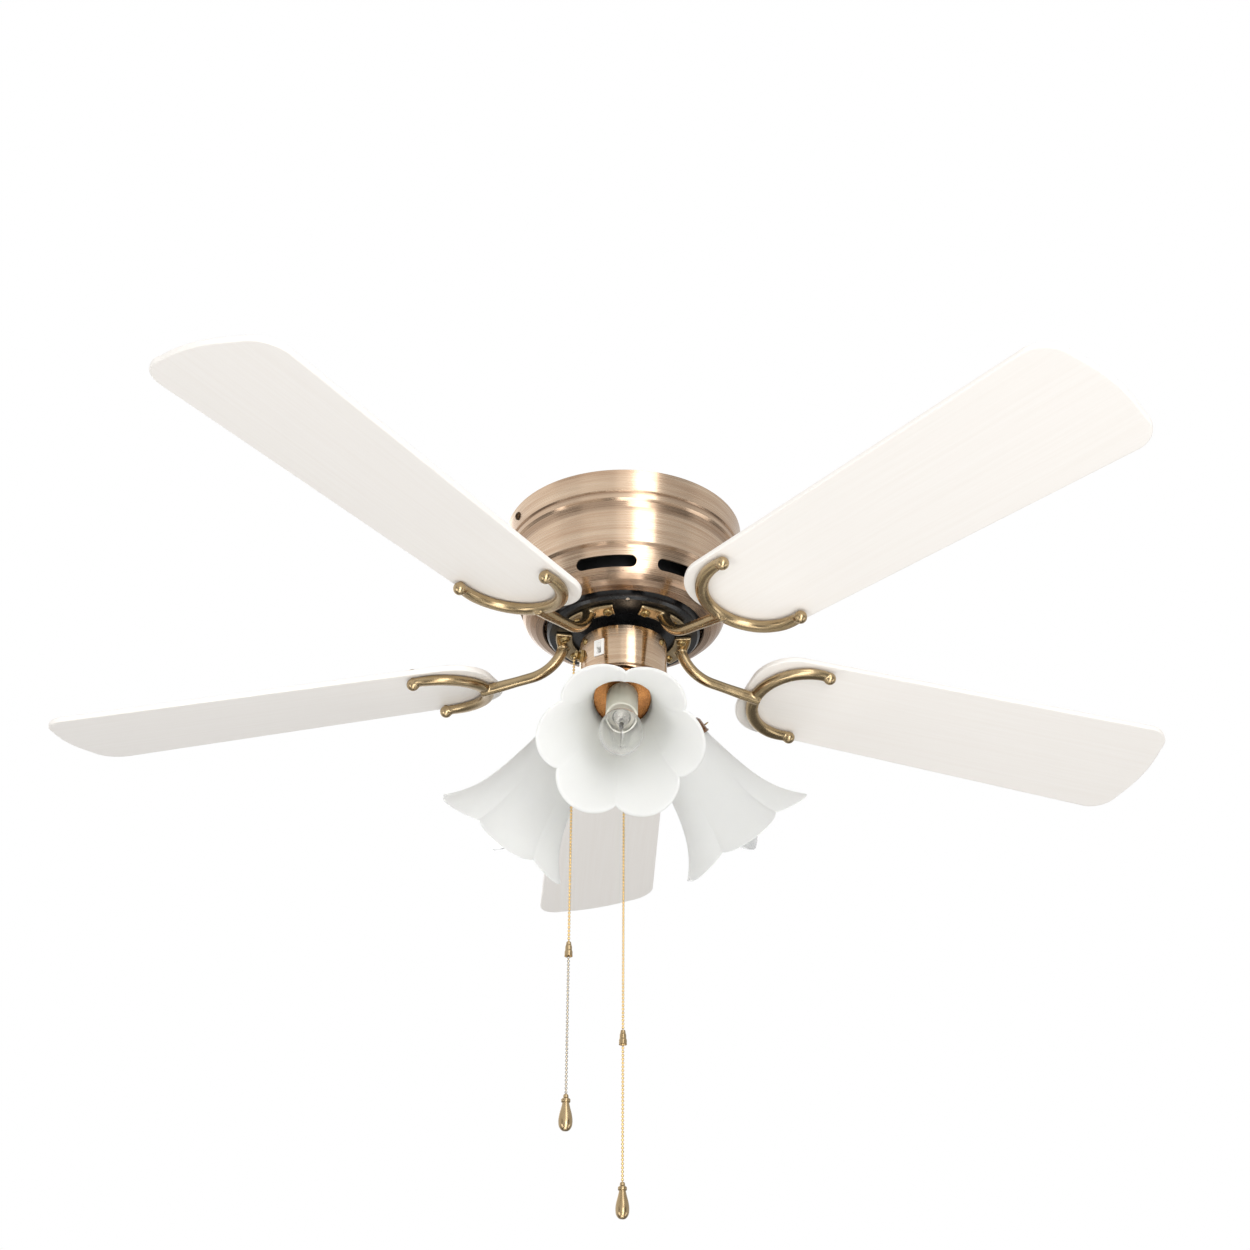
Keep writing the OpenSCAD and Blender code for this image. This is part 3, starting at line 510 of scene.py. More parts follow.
def wound_copper(name):
    """Enamelled copper wire, 0.8 mm, wound round the axis: fine rings, with painted shade between the turns."""
    made, tree, into = shaded(name, Metallic=0.9, Coat_Weight=0.6, Coat_Roughness=0.12)
    rings = ring_coordinates(tree, pattern_at(tree, False), 12, 196)
    wire_at = {"Vector": rings, "Scale": 1.0, "Distortion": 1.2, "Detail": 2.0}
    wire = add(tree, "ShaderNodeTexWave", wire_at, bands_direction="Z").outputs[1]
    # Painted shade: dark copper in the grooves between the turns
    colour = add(tree, "ShaderNodeValToRGB", {0: wire}, [(0.05, "#3A1608"), (0.5, "#B4602C")]).outputs[0]
    dressed(tree, into, colour, wire, (0.5, 0.24), wire, 0.5, 0.4, gloss_span=(0, 1))
    return made


# The ramp that holds the painted shade's pairs covers the reach
PAINTED_SHADE_REACH = 250
# Painted shade on the housing: brown bands in its steps and on its lower shoulder, in place of dark reflections and
# shade; pairs of millimetres below the ceiling and share
HOUSING_PAINTED_SHADE = [
    (19, 0.0), (20, 0.9), (22, 0.9), (24, 0.1), (26.5, 0.2), (28.5, 0.85), (34, 0.8), (37.5, 0.0),
    (65, 0.0), (66.5, 0.7), (69.5, 0.5), (72, 0.0), (83, 0.15), (92, 1.0),
]
# Painted shade on the light kit: darker towards its bottom
KIT_PAINTED_SHADE = [(160, 0.0), (176, 1.0)]

housing_brass = brushed_brass("brushed_antique_brass_sheet", "#C0A186", "#DFC7AD", HOUSING_PAINTED_SHADE, 0.23)
kit_brass = brushed_brass("brushed_antique_brass_cup", "#BEA083", "#D9C0A4", KIT_PAINTED_SHADE, 0.19)
cast_brass = mottled_metal("cast_antique_brass", True, "#A28C69", "#B7A17D", 0.24, 34.0, 0.008, 0.1)
cast_brass_cad = mottled_metal("cast_antique_brass_small_parts", False, "#9A8460", "#B29A74", 0.26, 90.0, 0.01)
copper_brass = mottled_metal("polished_copper_brass", False, "#7E522C", "#9A6A3C", 0.27, 90.0, 0.03, 0.2)
chain_brass = mottled_metal("polished_bead_brass", True, "#D9B679", "#F0D39A", 0.16, 500.0, 0.03)
chain_nickel = mottled_metal("nickel_plated_beads", True, "#A9A49C", "#C9C5BD", 0.18, 500.0, 0.03)
bronzed = mottled_metal("bronzed_steel_screw", True, "#3A2C1F", "#5B4530", 0.38, 600.0)
brass_screw = mottled_metal("antique_brass_screw", True, "#86704A", "#C2A976", 0.28, 700.0)
bright_steel = mottled_metal("ground_bearing_steel", False, "#B7BABD", "#D6D9DC", 0.16, 300.0, 0.03)
cap_metal = mottled_metal("nickelled_lamp_cap", True, "#8E8A84", "#B9B5AE", 0.25, 400.0)
tungsten = mottled_metal("tungsten_wire", True, "#6A6660", "#8A857D", 0.35, 900.0)
zinc = zinc_plate("zinc_plated_steel")
core_steel = stacked_steel("stacked_core_plates")
copper = wound_copper("enamelled_copper_winding")
enamel = plastic("black_stoving_enamel", "#09090A", "#111112", 0.3, coat=0.15, grain=500.0)
ivory = plastic("ivory_candle_sleeve", "#F6F1E4", "#FBF8EF", 0.4)
white_gloss = plastic("white_nylon", "#EDEBE6", "#F8F7F4", 0.3)
socket_plastic = plastic("cream_phenolic_holder", "#DED8C8", "#EAE5D8", 0.45)
black_plastic = plastic("black_phenolic", "#1C1C1E", "#2A2A2C", 0.45)
insulation = plastic("red_brown_wire_insulation", "#5C261F", "#742F27", 0.5)
laminate = blade_laminate("white_foiled_blade_board")
glass_frosted = frosted_glass("etched_opal_glass")
glass_clear = clear_glass("clear_lamp_glass")

# ---------------------------------------------------------------- pull chains
def chain_path(azimuth, bottom):
    """Line of a pull chain: out of its nipple, over a quarter circle of 4.9 mm, then straight down."""
    bend = BEAD_DIAMETER * 2.05
    a = np.radians(np.linspace(90, 0, 12))
    start = np.array([[SWITCH_R + 0.4, PULL_Z]])
    over = np.stack([CHAIN_R - bend + bend * np.cos(a), PULL_Z - bend + bend * np.sin(a)], axis=1)
    down = np.linspace([CHAIN_R, PULL_Z - bend], [CHAIN_R, bottom], 90)[1:]
    flat = np.concatenate([start, over, down])
    line = np.stack([flat[:, 0], 0 * flat[:, 0], flat[:, 1]], axis=1)
    return line @ turn("z", azimuth).T


def pull_chain(name, azimuth, body, lower_finish):
    """A bead chain, its bell connector and its fob, from the switch's nipple down."""
    cad_chain, cad_connector, cad_fob = (f"{name}_chain", f"{name}_chain_connector", f"{name}_pull_fob")
    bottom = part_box(cad_chain)[0].z / MM
    low, high = (corner.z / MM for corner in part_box(cad_connector))
    path = chain_path(azimuth, bottom)
    height = path[:, 2]
    upper, lower = path[height > high - 3], path[height < low + 3]
    about = turn("z", azimuth)
    parts = [
        bead_run(upper, BEAD_DIAMETER, BEAD_PITCH),
        bead_run(lower, BEAD_DIAMETER, BEAD_PITCH, finish=1),
        swept(path, about @ np.array([0, 1, 0]), circle(0.45, 6)),
    ]
    chain = piece(f"{name}_bead_chain", joined(f"{name}_bead_chain", parts), None,
                  [chain_brass, lower_finish], [cad_chain])
    top = about @ np.array([CHAIN_R, 0, 0])
    # Still just below the nipple, and wholly with the pull just above the bell
    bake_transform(chain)
    bell = rounded(
        [[1.5, 3.2], [2.5, 2.4], [3.2, 0.0], [3.2, 4.2], [2.7, 5.2], [2.7, 8.2], [2.2, 9.6], [1.9, 12.0],
         [1.25, 12.0], [1.5, 3.2]], 0.5, steps=3,
    )
    bell_part = placed(turned(bell, 40), (about, top + [0, 0, low]))
    bell_piece = piece(
        f"{name}_chain_bell", joined(f"{name}_chain_bell", [bell_part]),
        body, [cast_brass], [cad_connector],
    )
    fob_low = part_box(cad_fob)[0].z / MM
    shape = flowing([[0, 0], [2.4, 0.5], [4.6, 3], [5.35, 7], [4.9, 12], [3.4, 18], [2.6, 21.4]], 40)
    collar = rounded([[2.6, 21.4], [3.5, 22.0], [3.5, 24.2], [2.2, 25.0], [1.9, 27.4], [1.3, 28.0], [0, 28.0]], 0.4)
    fob_part = placed(turned(np.concatenate([shape, collar[1:]]), 56), (about, top + [0, 0, fob_low]))
    fob_piece = piece(
        f"{name}_turned_fob", joined(f"{name}_turned_fob", [fob_part]),
        body, [cast_brass], [cad_fob],
    )


pull_chain("fan", FAN_PULL_AZIMUTH, "fan_pull", chain_nickel)
pull_chain("light", LIGHT_PULL_AZIMUTH, "light_pull", chain_brass)


# ---------------------------------------------------------------- blades
def blade_half_width(x):
    """Half of a width that grows evenly from 102 mm at x = 140 to 125 mm at the tip."""
    return (102 + 23 * (x - 140) / (TIP_X - 140)) / 2


def blade_outline():
    """Closed blade outline, evenly spaced: round root corners, straight sides, round tip corners, a tip that bows
    out as a parabola."""
    root_corner, tip_corner, tip_bow = 36, 24, 5
    root_x, tip_x = ROOT_X + root_corner, TIP_X - tip_bow - tip_corner
    root_half, tip_half = blade_half_width(root_x) - root_corner, blade_half_width(tip_x) - tip_corner
    root, tip = np.radians(np.linspace(180, 92, 24)), np.radians(np.linspace(88, 6, 20))
    t = np.linspace(1, 0, 16)[1:]
    half = np.concatenate([
        [[ROOT_X, 0]],
        np.stack([root_x + root_corner * np.cos(root), root_half + root_corner * np.sin(root)], axis=1),
        np.stack([tip_x + tip_corner * np.cos(tip), tip_half + tip_corner * np.sin(tip)], axis=1),
        np.stack([TIP_X - tip_bow * t**2, tip_half * t], axis=1),
    ])
    at = lengths(half)
    evenly = np.linspace(0, at[-1], 210)
    even = np.stack([np.interp(evenly, at, half[:, k]) for k in (0, 1)], axis=1)
    return np.concatenate([even, even[-2:0:-1] * [1, -1]])


def board(outline, thickness, edge):
    """Closed board: rings grow from a middle line to the outline below, climb a rounded edge and shrink above."""
    along = np.roll(outline, -1, axis=0) - np.roll(outline, 1, axis=0)
    along /= np.linalg.norm(along, axis=1, keepdims=True)
    inward = np.stack([along[:, 1], -along[:, 0]], axis=1)
    a = np.radians(np.linspace(0, 90, 6))[:, None, None]
    inset = edge * (1 - np.sin(a))
    lower = outline + inset * inward
    flat_edge = outline + (edge + 1.2) * inward
    share = np.linspace(0, 1, 8)[:, None, None]
    middle_x = np.clip(flat_edge[:, 0], ROOT_X + 52, TIP_X - 66)
    middle = np.stack([middle_x, 0 * middle_x], axis=1)
    face = middle + (flat_edge - middle) * share
    plan = np.concatenate([face, lower, lower[::-1], face[::-1]])
    rise = edge * (1 - np.cos(a))[..., 0]
    zero = np.zeros((8, 1))
    height = np.concatenate([zero, rise, thickness - rise[::-1], zero + thickness])
    points = np.concatenate([plan, np.broadcast_to(height[..., None], plan.shape[:2] + (1,))], axis=-1)
    return surface(points)


blade_mesh = joined("blade", [board(blade_outline(), BLADE_THICKNESS, 1.3)])
screw_spots = [
    np.array([HORSESHOE_X + HORSESHOE_R * math.cos(math.radians(a)), HORSESHOE_R * math.sin(math.radians(a)), 0])
    for a in BLADE_SCREW_ANGLES
]
screw_parts = []
washer = rounded([[1.6, 0], [5.5, 0], [5.5, 0.95], [3.6, 0.95]], 0.3)
for i in range(5):
    piece(f"foiled_blade_{i + 1}", moved_mesh(blade_mesh, f"foiled_blade_{i + 1}", blade_place(i)), "rotor",
          [laminate], [f"blade_{i + 1}"])
    for spot in screw_spots:
        above = inside(blade_place(i), (np.eye(3), spot + [0, 0, BLADE_THICKNESS]))
        screw_parts.append(placed(turned(washer, 40), above))
        on_washer = inside(above, (np.eye(3), [0, 0, 0.9]))
        screw_parts += [placed(p, on_washer) for p in screw_head(3.8, 2.1, "cross", 1.0)]
        below = inside(blade_place(i), (np.eye(3), spot))
        shank = rounded([[0, -5], [1.2, -5], [1.6, -4.4], [1.6, 5.5]], 0.2)
        screw_parts.append(placed(turned(shank, 20), below))
piece("blade_fixing_screws", joined("blade_fixing_screws", screw_parts), "rotor",
      [brass_screw], ["blade_screws"])


# ---------------------------------------------------------------- blade irons
def cast_iron_mesh():
    """One iron, on the +X side: a foot plate, a neck bent on a circle and a half-round horseshoe with ball ends,
    melted together by a fine voxel skin. Its pattern follows its own place, so all five irons look alike."""
    bend_r, bend_x, bend_z, out_x = 36, 88.6, -97.1, 122
    a = np.radians(np.linspace(186, 260.5, 40))
    bend = np.stack([bend_x + bend_r * np.cos(a), 0 * a, bend_z + bend_r * np.sin(a)], axis=1)
    slope = math.radians(260.5 - 270)
    reach = (out_x + 6 - bend[-1, 0]) / math.cos(slope)
    straight = bend[-1] + np.linspace(0, reach, 14)[1:, None] * np.array([math.cos(slope), 0, math.sin(slope)])
    neck_line = np.concatenate([bend, straight])
    taper = np.interp(lengths(neck_line), [0, 18, 60, 75], [5.4, 4.9, 4.5, 4.9])[:, None, None]
    neck = swept(neck_line, [0, 1, 0], circle(1.0, 28) * taper)
    lean = turn("y", BLADE_DROOP) @ turn("x", -BLADE_PITCH)
    under = (lean, np.array([0, 0, BLADE_PLANE_Z]))
    b = np.radians(np.linspace(80, 280, 90))
    bow_line = np.stack([HORSESHOE_R * np.cos(b), HORSESHOE_R * np.sin(b), 0 * b], axis=1)
    c = np.linspace(0, 2 * np.pi, 36, endpoint=False)
    oval = np.stack([4.2 * np.sin(c), 1.25 * np.sign(np.cos(c)) + 4.25 * np.cos(c)], axis=1)
    width = np.interp(np.linspace(0, 1, 90), [0, 0.12, 0.5, 0.88, 1], [0.86, 1, 1.04, 1, 0.86])[:, None, None]
    bow = placed(swept(bow_line, [0, 0, 1], oval * width), (np.eye(3), np.array([HORSESHOE_X, 0, -4.35])))
    ends = [
        ball(5.6, 20, 28, (HORSESHOE_X + HORSESHOE_R * math.cos(e), HORSESHOE_R * math.sin(e), -5.7))
        for e in (b[0], b[-1])
    ]
    f = np.radians(np.linspace(-24, 24, 30))
    foot_section = rounded([[44, 0], [58.5, 0], [58.5, -3.5], [44, -3.5]], 0.9, closed=True)
    foot = foot_section[:, None, :1] * np.stack([np.cos(f), np.sin(f), 0 * f], axis=1)
    foot = foot + (foot_section[:, 1, None, None] + ROTOR_UNDERSIDE) * np.array([0, 0, 1])
    caps = [surface(np.stack([foot[:, e], 0 * foot[:, e] + foot[:, e].mean(axis=0)], axis=0)) for e in (0, -1)]
    parts = [neck, placed(bow, under), *(placed(e, under) for e in ends),
             surface(foot, close_rows=True, close_cols=False), *caps]
    rough = bpy.data.objects.new("iron_blank", joined("iron_blank", parts))
    bpy.context.scene.collection.objects.link(rough)
    skin = rough.modifiers.new("skin", "REMESH")
    skin.mode, skin.voxel_size = "VOXEL", IRON_VOXEL * MM
    soften = rough.modifiers.new("soften", "SMOOTH")
    soften.factor, soften.iterations = 0.5, 14
    skinned = bpy.data.meshes.new_from_object(rough.evaluated_get(bpy.context.evaluated_depsgraph_get()))
    bpy.data.objects.remove(rough)
    co = np.zeros(len(skinned.vertices) * 3, np.float32)
    skinned.vertices.foreach_get("co", co)
    lay = skinned.attributes.get("lay") or skinned.attributes.new("lay", "FLOAT_VECTOR", "POINT")
    lay.data.foreach_set("vector", co)
    return skinned


iron_mesh = cast_iron_mesh()
iron_screw_parts = []
for i, azimuth in enumerate(BLADE_AZIMUTHS):
    piece(f"cast_iron_bracket_{i + 1}", moved_mesh(iron_mesh, f"cast_iron_bracket_{i + 1}", azimuth_place(azimuth)),
          "rotor", [cast_brass], [f"blade_iron_{i + 1}"], sharp=60)
    for side in IRON_SCREW_TURNS:
        about = turn("z", azimuth + side)
        spot = (about @ turn("x", 180), about @ np.array([50, 0, ROTOR_UNDERSIDE - 3.4]))
        iron_screw_parts += [placed(p, spot) for p in screw_head(4.2, 2.6, "cross", 1.3)]
piece("iron_foot_screws", joined("iron_foot_screws", iron_screw_parts), "rotor",
      [brass_screw], ["iron_screws"])


# ---------------------------------------------------------------- frosted shades
def shade_mesh(k):
    """A bell of six lobes, t from 0 at its neck to 1 at its rim. The lobes' swell s is |sin 3a| to the power 0.75.
    The radius is 26 + 20 t^1.25 + 15 t^6 + (10.5 s - 6) t^4.5, and the height is the length times t, plus 6 s t^4.5.
    The wall is doubled and its rim rounded."""
    t = np.linspace(0, 1, 64)[:, None]
    a = np.linspace(0, 2 * np.pi, 288, endpoint=False)[None]
    swell = np.abs(np.sin(3 * a)) ** 0.75
    grow = t**4.5
    radius = 26 + 20 * t**1.25 + 15 * t**6 + grow * (10.5 * swell - 6)
    height = SHADE_LENGTH * t + 6 * swell * grow
    ring = np.stack([np.cos(a), np.sin(a)], axis=-1)
    neck_t = np.linspace(-2, 0, 4)[:-1, None]
    radius = np.concatenate([26 + 0 * neck_t + 0 * a, radius])
    height = np.concatenate([neck_t + 0 * a, height])
    outer = np.concatenate([radius[..., None] * ring, height[..., None]], axis=-1)
    inner = np.concatenate([(radius - SHADE_WALL)[..., None] * ring, height[..., None]], axis=-1)
    middle, half = (outer[-1] + inner[-1]) / 2, (outer[-1] - inner[-1]) / 2
    out_way = outer[-1] - outer[-3]
    out_way /= np.linalg.norm(out_way, axis=-1, keepdims=True)
    b = np.radians(np.linspace(0, 180, 9))[1:-1, None, None]
    lip = middle + np.cos(b) * half + np.sin(b) * out_way * 0.9
    points = np.concatenate([outer, lip, inner[::-1]])
    place = inside(lamp_place(k), (turn("z", LOBE_TURNS[k]), np.zeros(3)))
    return joined(f"frosted_shade_{k + 1}", [placed(surface(points, close_rows=True), place)])


for k in range(3):
    piece(f"frosted_shade_{k + 1}", shade_mesh(k), "fixed_frame", [glass_frosted],
          [f"shade_{k + 1}"], sharp=70)


# ---------------------------------------------------------------- lamps
def bulb_parts(place):
    """Candle lamp: a blown glass of revolution with a wall, a stem, two bent leads, a filament on a helix about a
    line that sags as a sine, and a cap whose thread is a cosine of the height."""
    glass = flowing(
        [[6.6, 44.5], [7.2, 47.5], [9.2, 52], [12.2, 59], [14.9, 66], [16.7, 73], [17.3, 80], [16.5, 88],
         [13.9, 97], [10, 104.5], [6, 109.6], [3, 112.4], [1.3, 113.6], [0, 114]], 90
    )
    wall = np.concatenate([glass, (glass - [0.7, 0.55])[::-1]])
    wall[:, 0] = np.maximum(wall[:, 0], 0)
    stem = rounded([[5.8, 46], [4.6, 50], [2.4, 58], [1.6, 68], [2.2, 69.5], [1.4, 71], [0, 71.2]], 1.0)
    z = np.linspace(23, 43, 120)
    thread = np.stack([6.55 + 0.45 * np.cos(2 * np.pi * (z - 23) / 2.8), z], axis=1)
    contact = [[0, 21], [3.0, 21.0], [3.2, 21.8], [6.0, 22.6]]
    shoulder = [[7.0, 44.2], [6.9, 45.6], [6.2, 46.2], [0, 46.2]]
    cap = np.concatenate([contact, thread, shoulder])
    lead = flowing([[0.8, 60], [1.2, 70], [4.6, 80], [6.4, 87], [6.4, 88.5]], 20)
    leads = [
        swept(lead * [side, 1] @ np.array([[1, 0, 0], [0, 0, 1]]), [0, 1, 0], circle(0.22, 6), finish=2)
        for side in (-1, 1)
    ]
    s = np.linspace(0, 1, 160)
    sag = 88.5 - 5 * np.sin(np.pi * s)
    coil = np.stack([-6.4 + 12.8 * s, 0.35 * np.cos(90 * s), sag + 0.35 * np.sin(90 * s)], axis=1)
    filament = swept(coil, [0, 1, 0], circle(0.12, 5), finish=2)
    return [
        placed(turned(wall, 72, closed=True), place),
        placed(turned(stem, 32), place),
        placed(turned(cap, 48, finish=1), place),
        *(placed(lead, place) for lead in leads),
        placed(filament, place),
    ]


def wing_screw(place):
    """Thumb screw: a shank whose thread is a cosine of the height, a collar, and two flat ellipsoids that open in
    a V."""
    z = np.linspace(0, 7.5, 46)
    thread = np.stack([1.25 + 0.16 * np.cos(2 * np.pi * z / 0.8), z], axis=1)
    shank = np.concatenate([[[0, 0]], thread, [[0, 7.5]]])
    collar = rounded([[0, 6.8], [2.3, 6.8], [2.3, 8.3], [1.6, 8.9], [0, 9.0]], 0.4)
    u, v = np.meshgrid(np.linspace(0, np.pi, 12), np.linspace(0, 2 * np.pi, 20, endpoint=False), indexing="ij")
    wing = np.stack([0.75 * np.sin(u) * np.cos(v), 1.9 * np.sin(u) * np.sin(v), 3.3 * np.cos(u)], axis=-1)
    wings = [
        placed(surface(wing), inside(place, (turn("x", -32 * side), np.array([0, 2.0 * side, 10.4]))))
        for side in (-1, 1)
    ]
    return [placed(turned(shank, 18), place), placed(turned(collar, 24), place), *wings]


nipple_parts = []
for azimuth in (FAN_PULL_AZIMUTH, LIGHT_PULL_AZIMUTH):
    seat = inside(wall_place(azimuth, PULL_Z), (np.eye(3), np.array([0, 0, SWITCH_R])))
    flange = [[3, 0], [6.2, 0], [6.2, 1.8], [5.6, 2.4], [3, 2.4]]
    throat = [[1.9, -3.5], [3.2, -3.5], [3.2, 3.0], [3.7, 4.4], [4.8, 5.5], [4.2, 5.6], [2.9, 4.0], [2.1, 2.0]]
    nipple_parts.append(placed(turned(flange, 6, closed=True), seat))
    nipple_parts.append(placed(turned(rounded(throat, 0.3, closed=True), 40, closed=True), seat))
piece("bell_mouth_nipples", joined("bell_mouth_nipples", nipple_parts), "fixed_frame",
      [brass_screw], ["chain_nipples"])

lamp_parts, thumb_parts = [], []
for k in range(3):
    lamp_parts += bulb_parts(lamp_place(k))
    for j in range(3):
        about = turn("z", THUMB_TURNS[k] + 120 * j)
        at = (about @ turn("y", 90), about @ np.array(THUMB_SEAT))
        thumb_parts += wing_screw(inside(lamp_place(k), at))
piece("candle_bulbs", joined("candle_bulbs", lamp_parts), "fixed_frame",
      [glass_clear, cap_metal, tungsten], ["bulbs"])
piece("wing_screws", joined("wing_screws", thumb_parts), "fixed_frame", [brass_screw],
      ["thumb_screws"])

# ---------------------------------------------------------------- side screws
side_screw_parts = []
for azimuth in HOUSING_SCREW_AZIMUTHS:
    seat = inside(wall_place(azimuth, HOUSING_SCREW_Z), (np.eye(3), np.array([0, 0, HOUSING_SCREW_SEAT_R])))
    side_screw_parts += [placed(p, seat) for p in screw_head(3.6, 2.0, "cross", 1.0)]
piece("housing_side_screws", joined("housing_side_screws", side_screw_parts), "fixed_frame",
      [bronzed], ["housing_screws"])
cup_screw_parts = []
for azimuth in CUP_SCREW_AZIMUTHS:
    seat = inside(wall_place(azimuth, CUP_SCREW_Z), (np.eye(3), np.array([0, 0, SWITCH_R])))
    cup_screw_parts += [placed(p, seat) for p in screw_head(3.0, 1.8, "slot", 0.9)]
piece("switch_cup_screws", joined("switch_cup_screws", cup_screw_parts), "fixed_frame",
      [brass_screw], ["switch_housing_screws"])

# ---------------------------------------------------------------- finishes of the CAD nodes that stay
node_finishes = {
    "ceiling_plate": zinc, "hanger_plate": zinc, "hanger_fasteners": zinc, "switch_bracket": zinc,
    "switch_housing_cap": zinc, "light_kit_rod": zinc, "rotor_screws": zinc,
    "terminal_block": socket_plastic, "lamp_holders": socket_plastic,
    "motor_shaft": bright_steel, "bearing_inner_races": bright_steel, "bearing_ball_cages": bright_steel,
    "bearing_outer_races": bright_steel, "shaft_wires": insulation,
    "motor_housing": housing_brass, "switch_housing": kit_brass, "light_kit_body": kit_brass, "finial": kit_brass,
    "stator_core": core_steel, "rotor_ring": core_steel, "stator_windings": copper,
    "rotor_top_cover": enamel, "rotor_bottom_cover": enamel,
    "speed_switch": black_plastic, "light_switch": black_plastic, "run_capacitor": black_plastic,
    "reverse_switch": white_gloss, "reverse_slider": white_gloss,
    "lamp_arms": cast_brass_cad,
    "shade_cup_1": copper_brass, "shade_cup_2": copper_brass, "shade_cup_3": copper_brass,
    "candle_sleeves": ivory,
}
for name, finish in node_finishes.items():
    for place in nodes[name].material_slots:
        place.material = finish

# ---------------------------------------------------------------- floor, world and lights
floor_mesh = bpy.data.meshes.new("studio_floor")
corners = np.array([[-1, -1, 1], [1, -1, 1], [1, 1, 1], [-1, 1, 1]]) * [FLOOR_HALF, FLOOR_HALF, FLOOR_Z] * MM
floor_mesh.from_pydata(corners.tolist(), [], [(0, 1, 2, 3)])
floor = bpy.data.objects.new("studio_floor", floor_mesh)
bpy.context.scene.collection.objects.link(floor)
floor_paint, floor_tree, floor_into = shaded("pale_studio_floor", Roughness=0.8)
speck = add(floor_tree, "ShaderNodeTexNoise", {"Vector": pattern_at(floor_tree, False), "Scale": 3.0}).outputs[0]
pale = add(floor_tree, "ShaderNodeValToRGB", {0: speck}, [(0.3, "#EDEDEC"), (0.7, "#F2F2F1")])
floor_tree.links.new(pale.outputs[0], floor_into["Base Color"])
floor_mesh.materials.append(floor_paint)

world = bpy.data.worlds.new("soft_studio")
bpy.context.scene.world = world
world.use_nodes = True
sky = world.node_tree
backdrop = sky.nodes["Background"]
seen = add(sky, "ShaderNodeLightPath").outputs["Is Camera Ray"]
every_way = add(sky, "ShaderNodeTexCoord").outputs["Generated"]
to_right, away, upwards = add(sky, "ShaderNodeSeparateXYZ", {0: every_way}).outputs[:3]
to_front = add(sky, "ShaderNodeMath", {0: away, 1: -1.0}, operation="MULTIPLY").outputs[0]
bearing = add(sky, "ShaderNodeMath", {0: to_right, 1: to_front}, operation="ARCTAN2").outputs[0]
height = add(sky, "ShaderNodeMath", {0: upwards}, operation="ARCSINE").outputs[0]

# Each soft step reads the bearing (0 in front, to the right positive) or the height, in degrees: the value before
# its lower limit and the value past its upper one. The world is dim low down and overhead, bright at eye level, and
# brighter on the left. A tall strip in front has a bright right half, and there is a dark gap on either side of it.
soft_steps = {
    "dim_below": (height, -48, 6, 0.24, 1.0),
    "dim_above": (height, 42, 68, 1, 0.5),
    "left_to_right": (bearing, -100, 110, 1.06, 0.72),
    "strip_left": (bearing, -10, -3, 0, 0.3),
    "strip_middle": (bearing, 9, 16, 0, 0.95),
    "strip_right": (bearing, 29, 32, 1, 0),
    "strip_bottom": (height, -86, -70, 0, 1),
    "strip_top": (height, 55, 70, 1, 0),
    "right_gap_starts": (bearing, 32, 40, 0, 1),
    "right_gap_ends": (bearing, 60, 74, 1, 0),
    "left_gap_starts": (bearing, -72, -60, 0, 1),
    "left_gap_ends": (bearing, -44, -36, 1, 0),
    "gap_bottom": (height, -14, -4, 0, 0.6),
    "gap_top": (height, 12, 24, 1, 0),
}
shares = {}
for name, (angle, low, high, before, after) in soft_steps.items():
    limits = {"From Min": math.radians(low), "From Max": math.radians(high), "To Min": before, "To Max": after}
    step = add(sky, "ShaderNodeMapRange", {"Value": angle, **limits}, interpolation_type="SMOOTHSTEP")
    shares[name] = step.outputs[0]
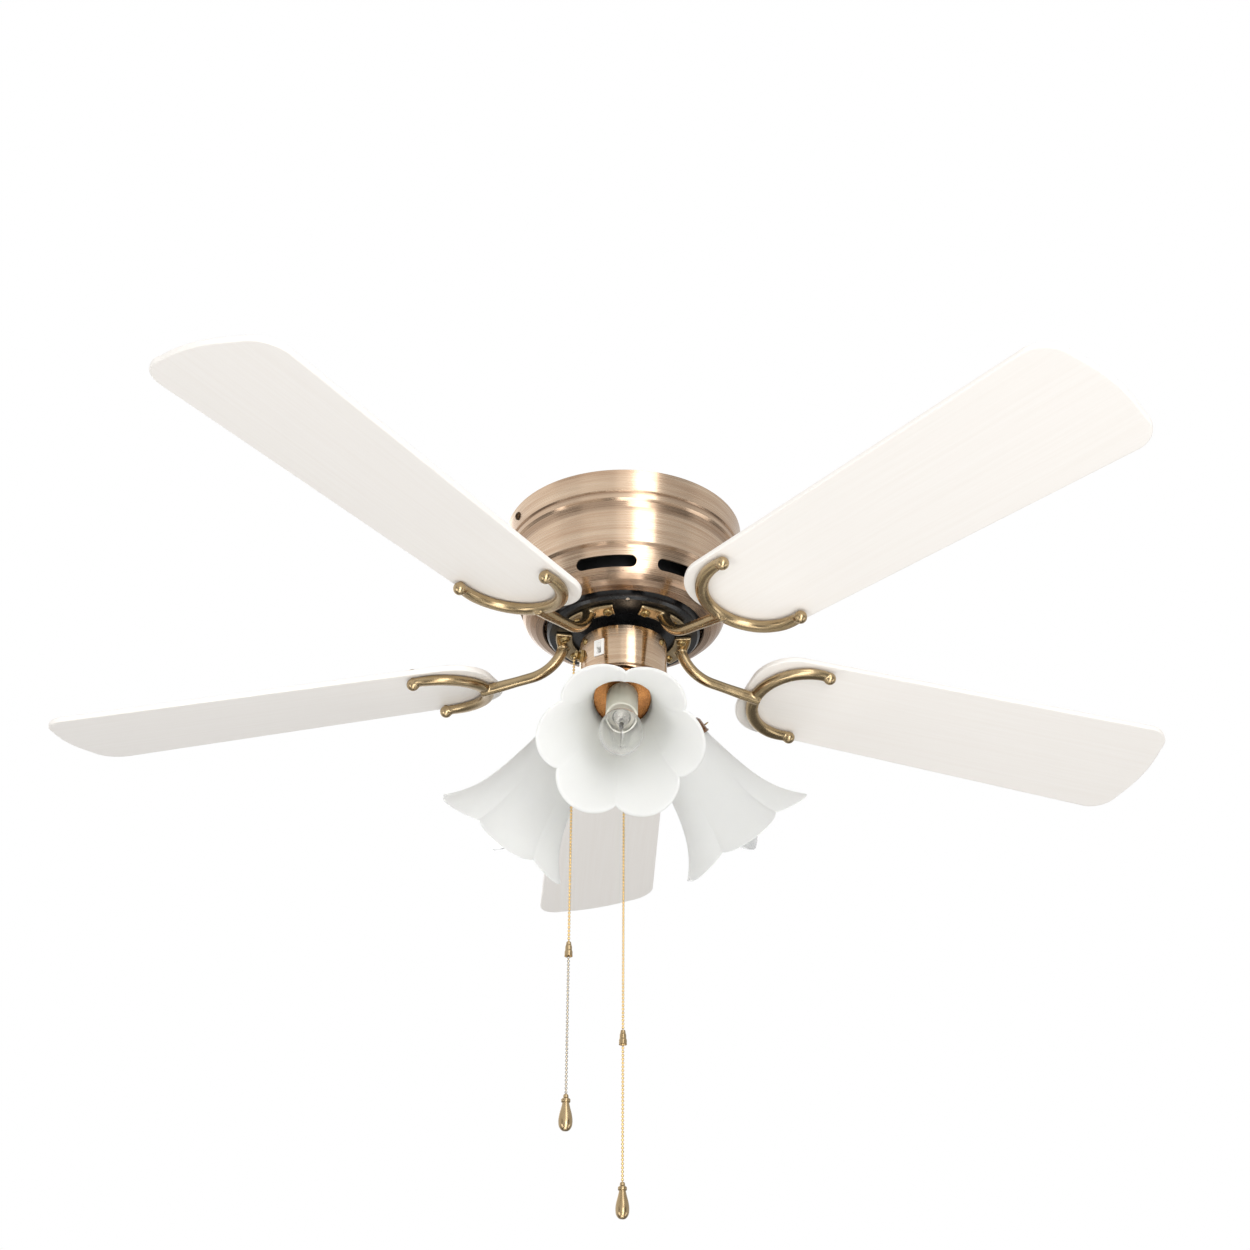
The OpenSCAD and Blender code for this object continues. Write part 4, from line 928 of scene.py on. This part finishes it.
for name, operation, first, second in (
    ("rise", "MULTIPLY", "dim_below", "dim_above"),
    ("level", "MULTIPLY", "rise", "left_to_right"),
    ("strip_low", "MULTIPLY", "strip_left", "strip_right"),
    ("strip_high", "MULTIPLY", "strip_middle", "strip_right"),
    ("strip_reach", "MULTIPLY", "strip_bottom", "strip_top"),
    ("strip_sum", "ADD", "strip_low", "strip_high"),
    ("strip", "MULTIPLY", "strip_sum", "strip_reach"),
    ("right_gap", "MULTIPLY", "right_gap_starts", "right_gap_ends"),
    ("left_gap", "MULTIPLY", "left_gap_starts", "left_gap_ends"),
    ("gap_reach", "MULTIPLY", "gap_bottom", "gap_top"),
    ("gap_sum", "ADD", "right_gap", "left_gap"),
    ("gaps", "MULTIPLY", "gap_sum", "gap_reach"),
    ("lit", "ADD", "level", "strip"),
    ("studio", "SUBTRACT", "lit", "gaps"),
):
    shares[name] = add(sky, "ShaderNodeMath", {0: shares[first], 1: shares[second]}, operation=operation).outputs[0]
strength = add(sky, "ShaderNodeMix", {0: seen, 2: shares["studio"], 3: 1.0}).outputs[0]
sky.links.new(strength, backdrop.inputs["Strength"])
backdrop.inputs["Color"].default_value = (1, 1, 1, 1)


def softbox(name, azimuth, elevation, distance, width, tall, power):
    """A soft white rectangle of light, aimed at the fan's middle; azimuth 0 is in front, elevation 0 is level."""
    a, e = math.radians(azimuth), math.radians(elevation)
    way = Vector((math.sin(a) * math.cos(e), -math.cos(a) * math.cos(e), math.sin(e)))
    lamp = bpy.data.lights.new(name, "AREA")
    lamp.shape, lamp.size, lamp.size_y, lamp.energy = "RECTANGLE", width, tall, power
    obj = bpy.data.objects.new(name, lamp)
    obj.location = Vector((0, 0, -0.12)) + way * distance
    obj.rotation_mode = "QUATERNION"
    obj.rotation_quaternion = way.to_track_quat("Z", "Y")
    bpy.context.scene.collection.objects.link(obj)


softbox("front_softbox", 10, -47, 2.4, 0.9, 1.2, 14)
softbox("eye_level_front", 14, -14, 2.4, 0.8, 1.2, 15)
softbox("left_softbox", -60, -36, 2.6, 1.0, 1.5, 12)
softbox("right_fill", 80, -36, 2.6, 1.0, 1.8, 10)
softbox("low_fill", -5, -76, 2.1, 1.0, 0.8, 6)
softbox("high_front", 20, 38, 2.6, 0.9, 2.4, 11)
softbox("back_rim", 200, 25, 2.8, 2.0, 1.4, 8)

bpy.context.scene.view_settings.view_transform = "Standard"
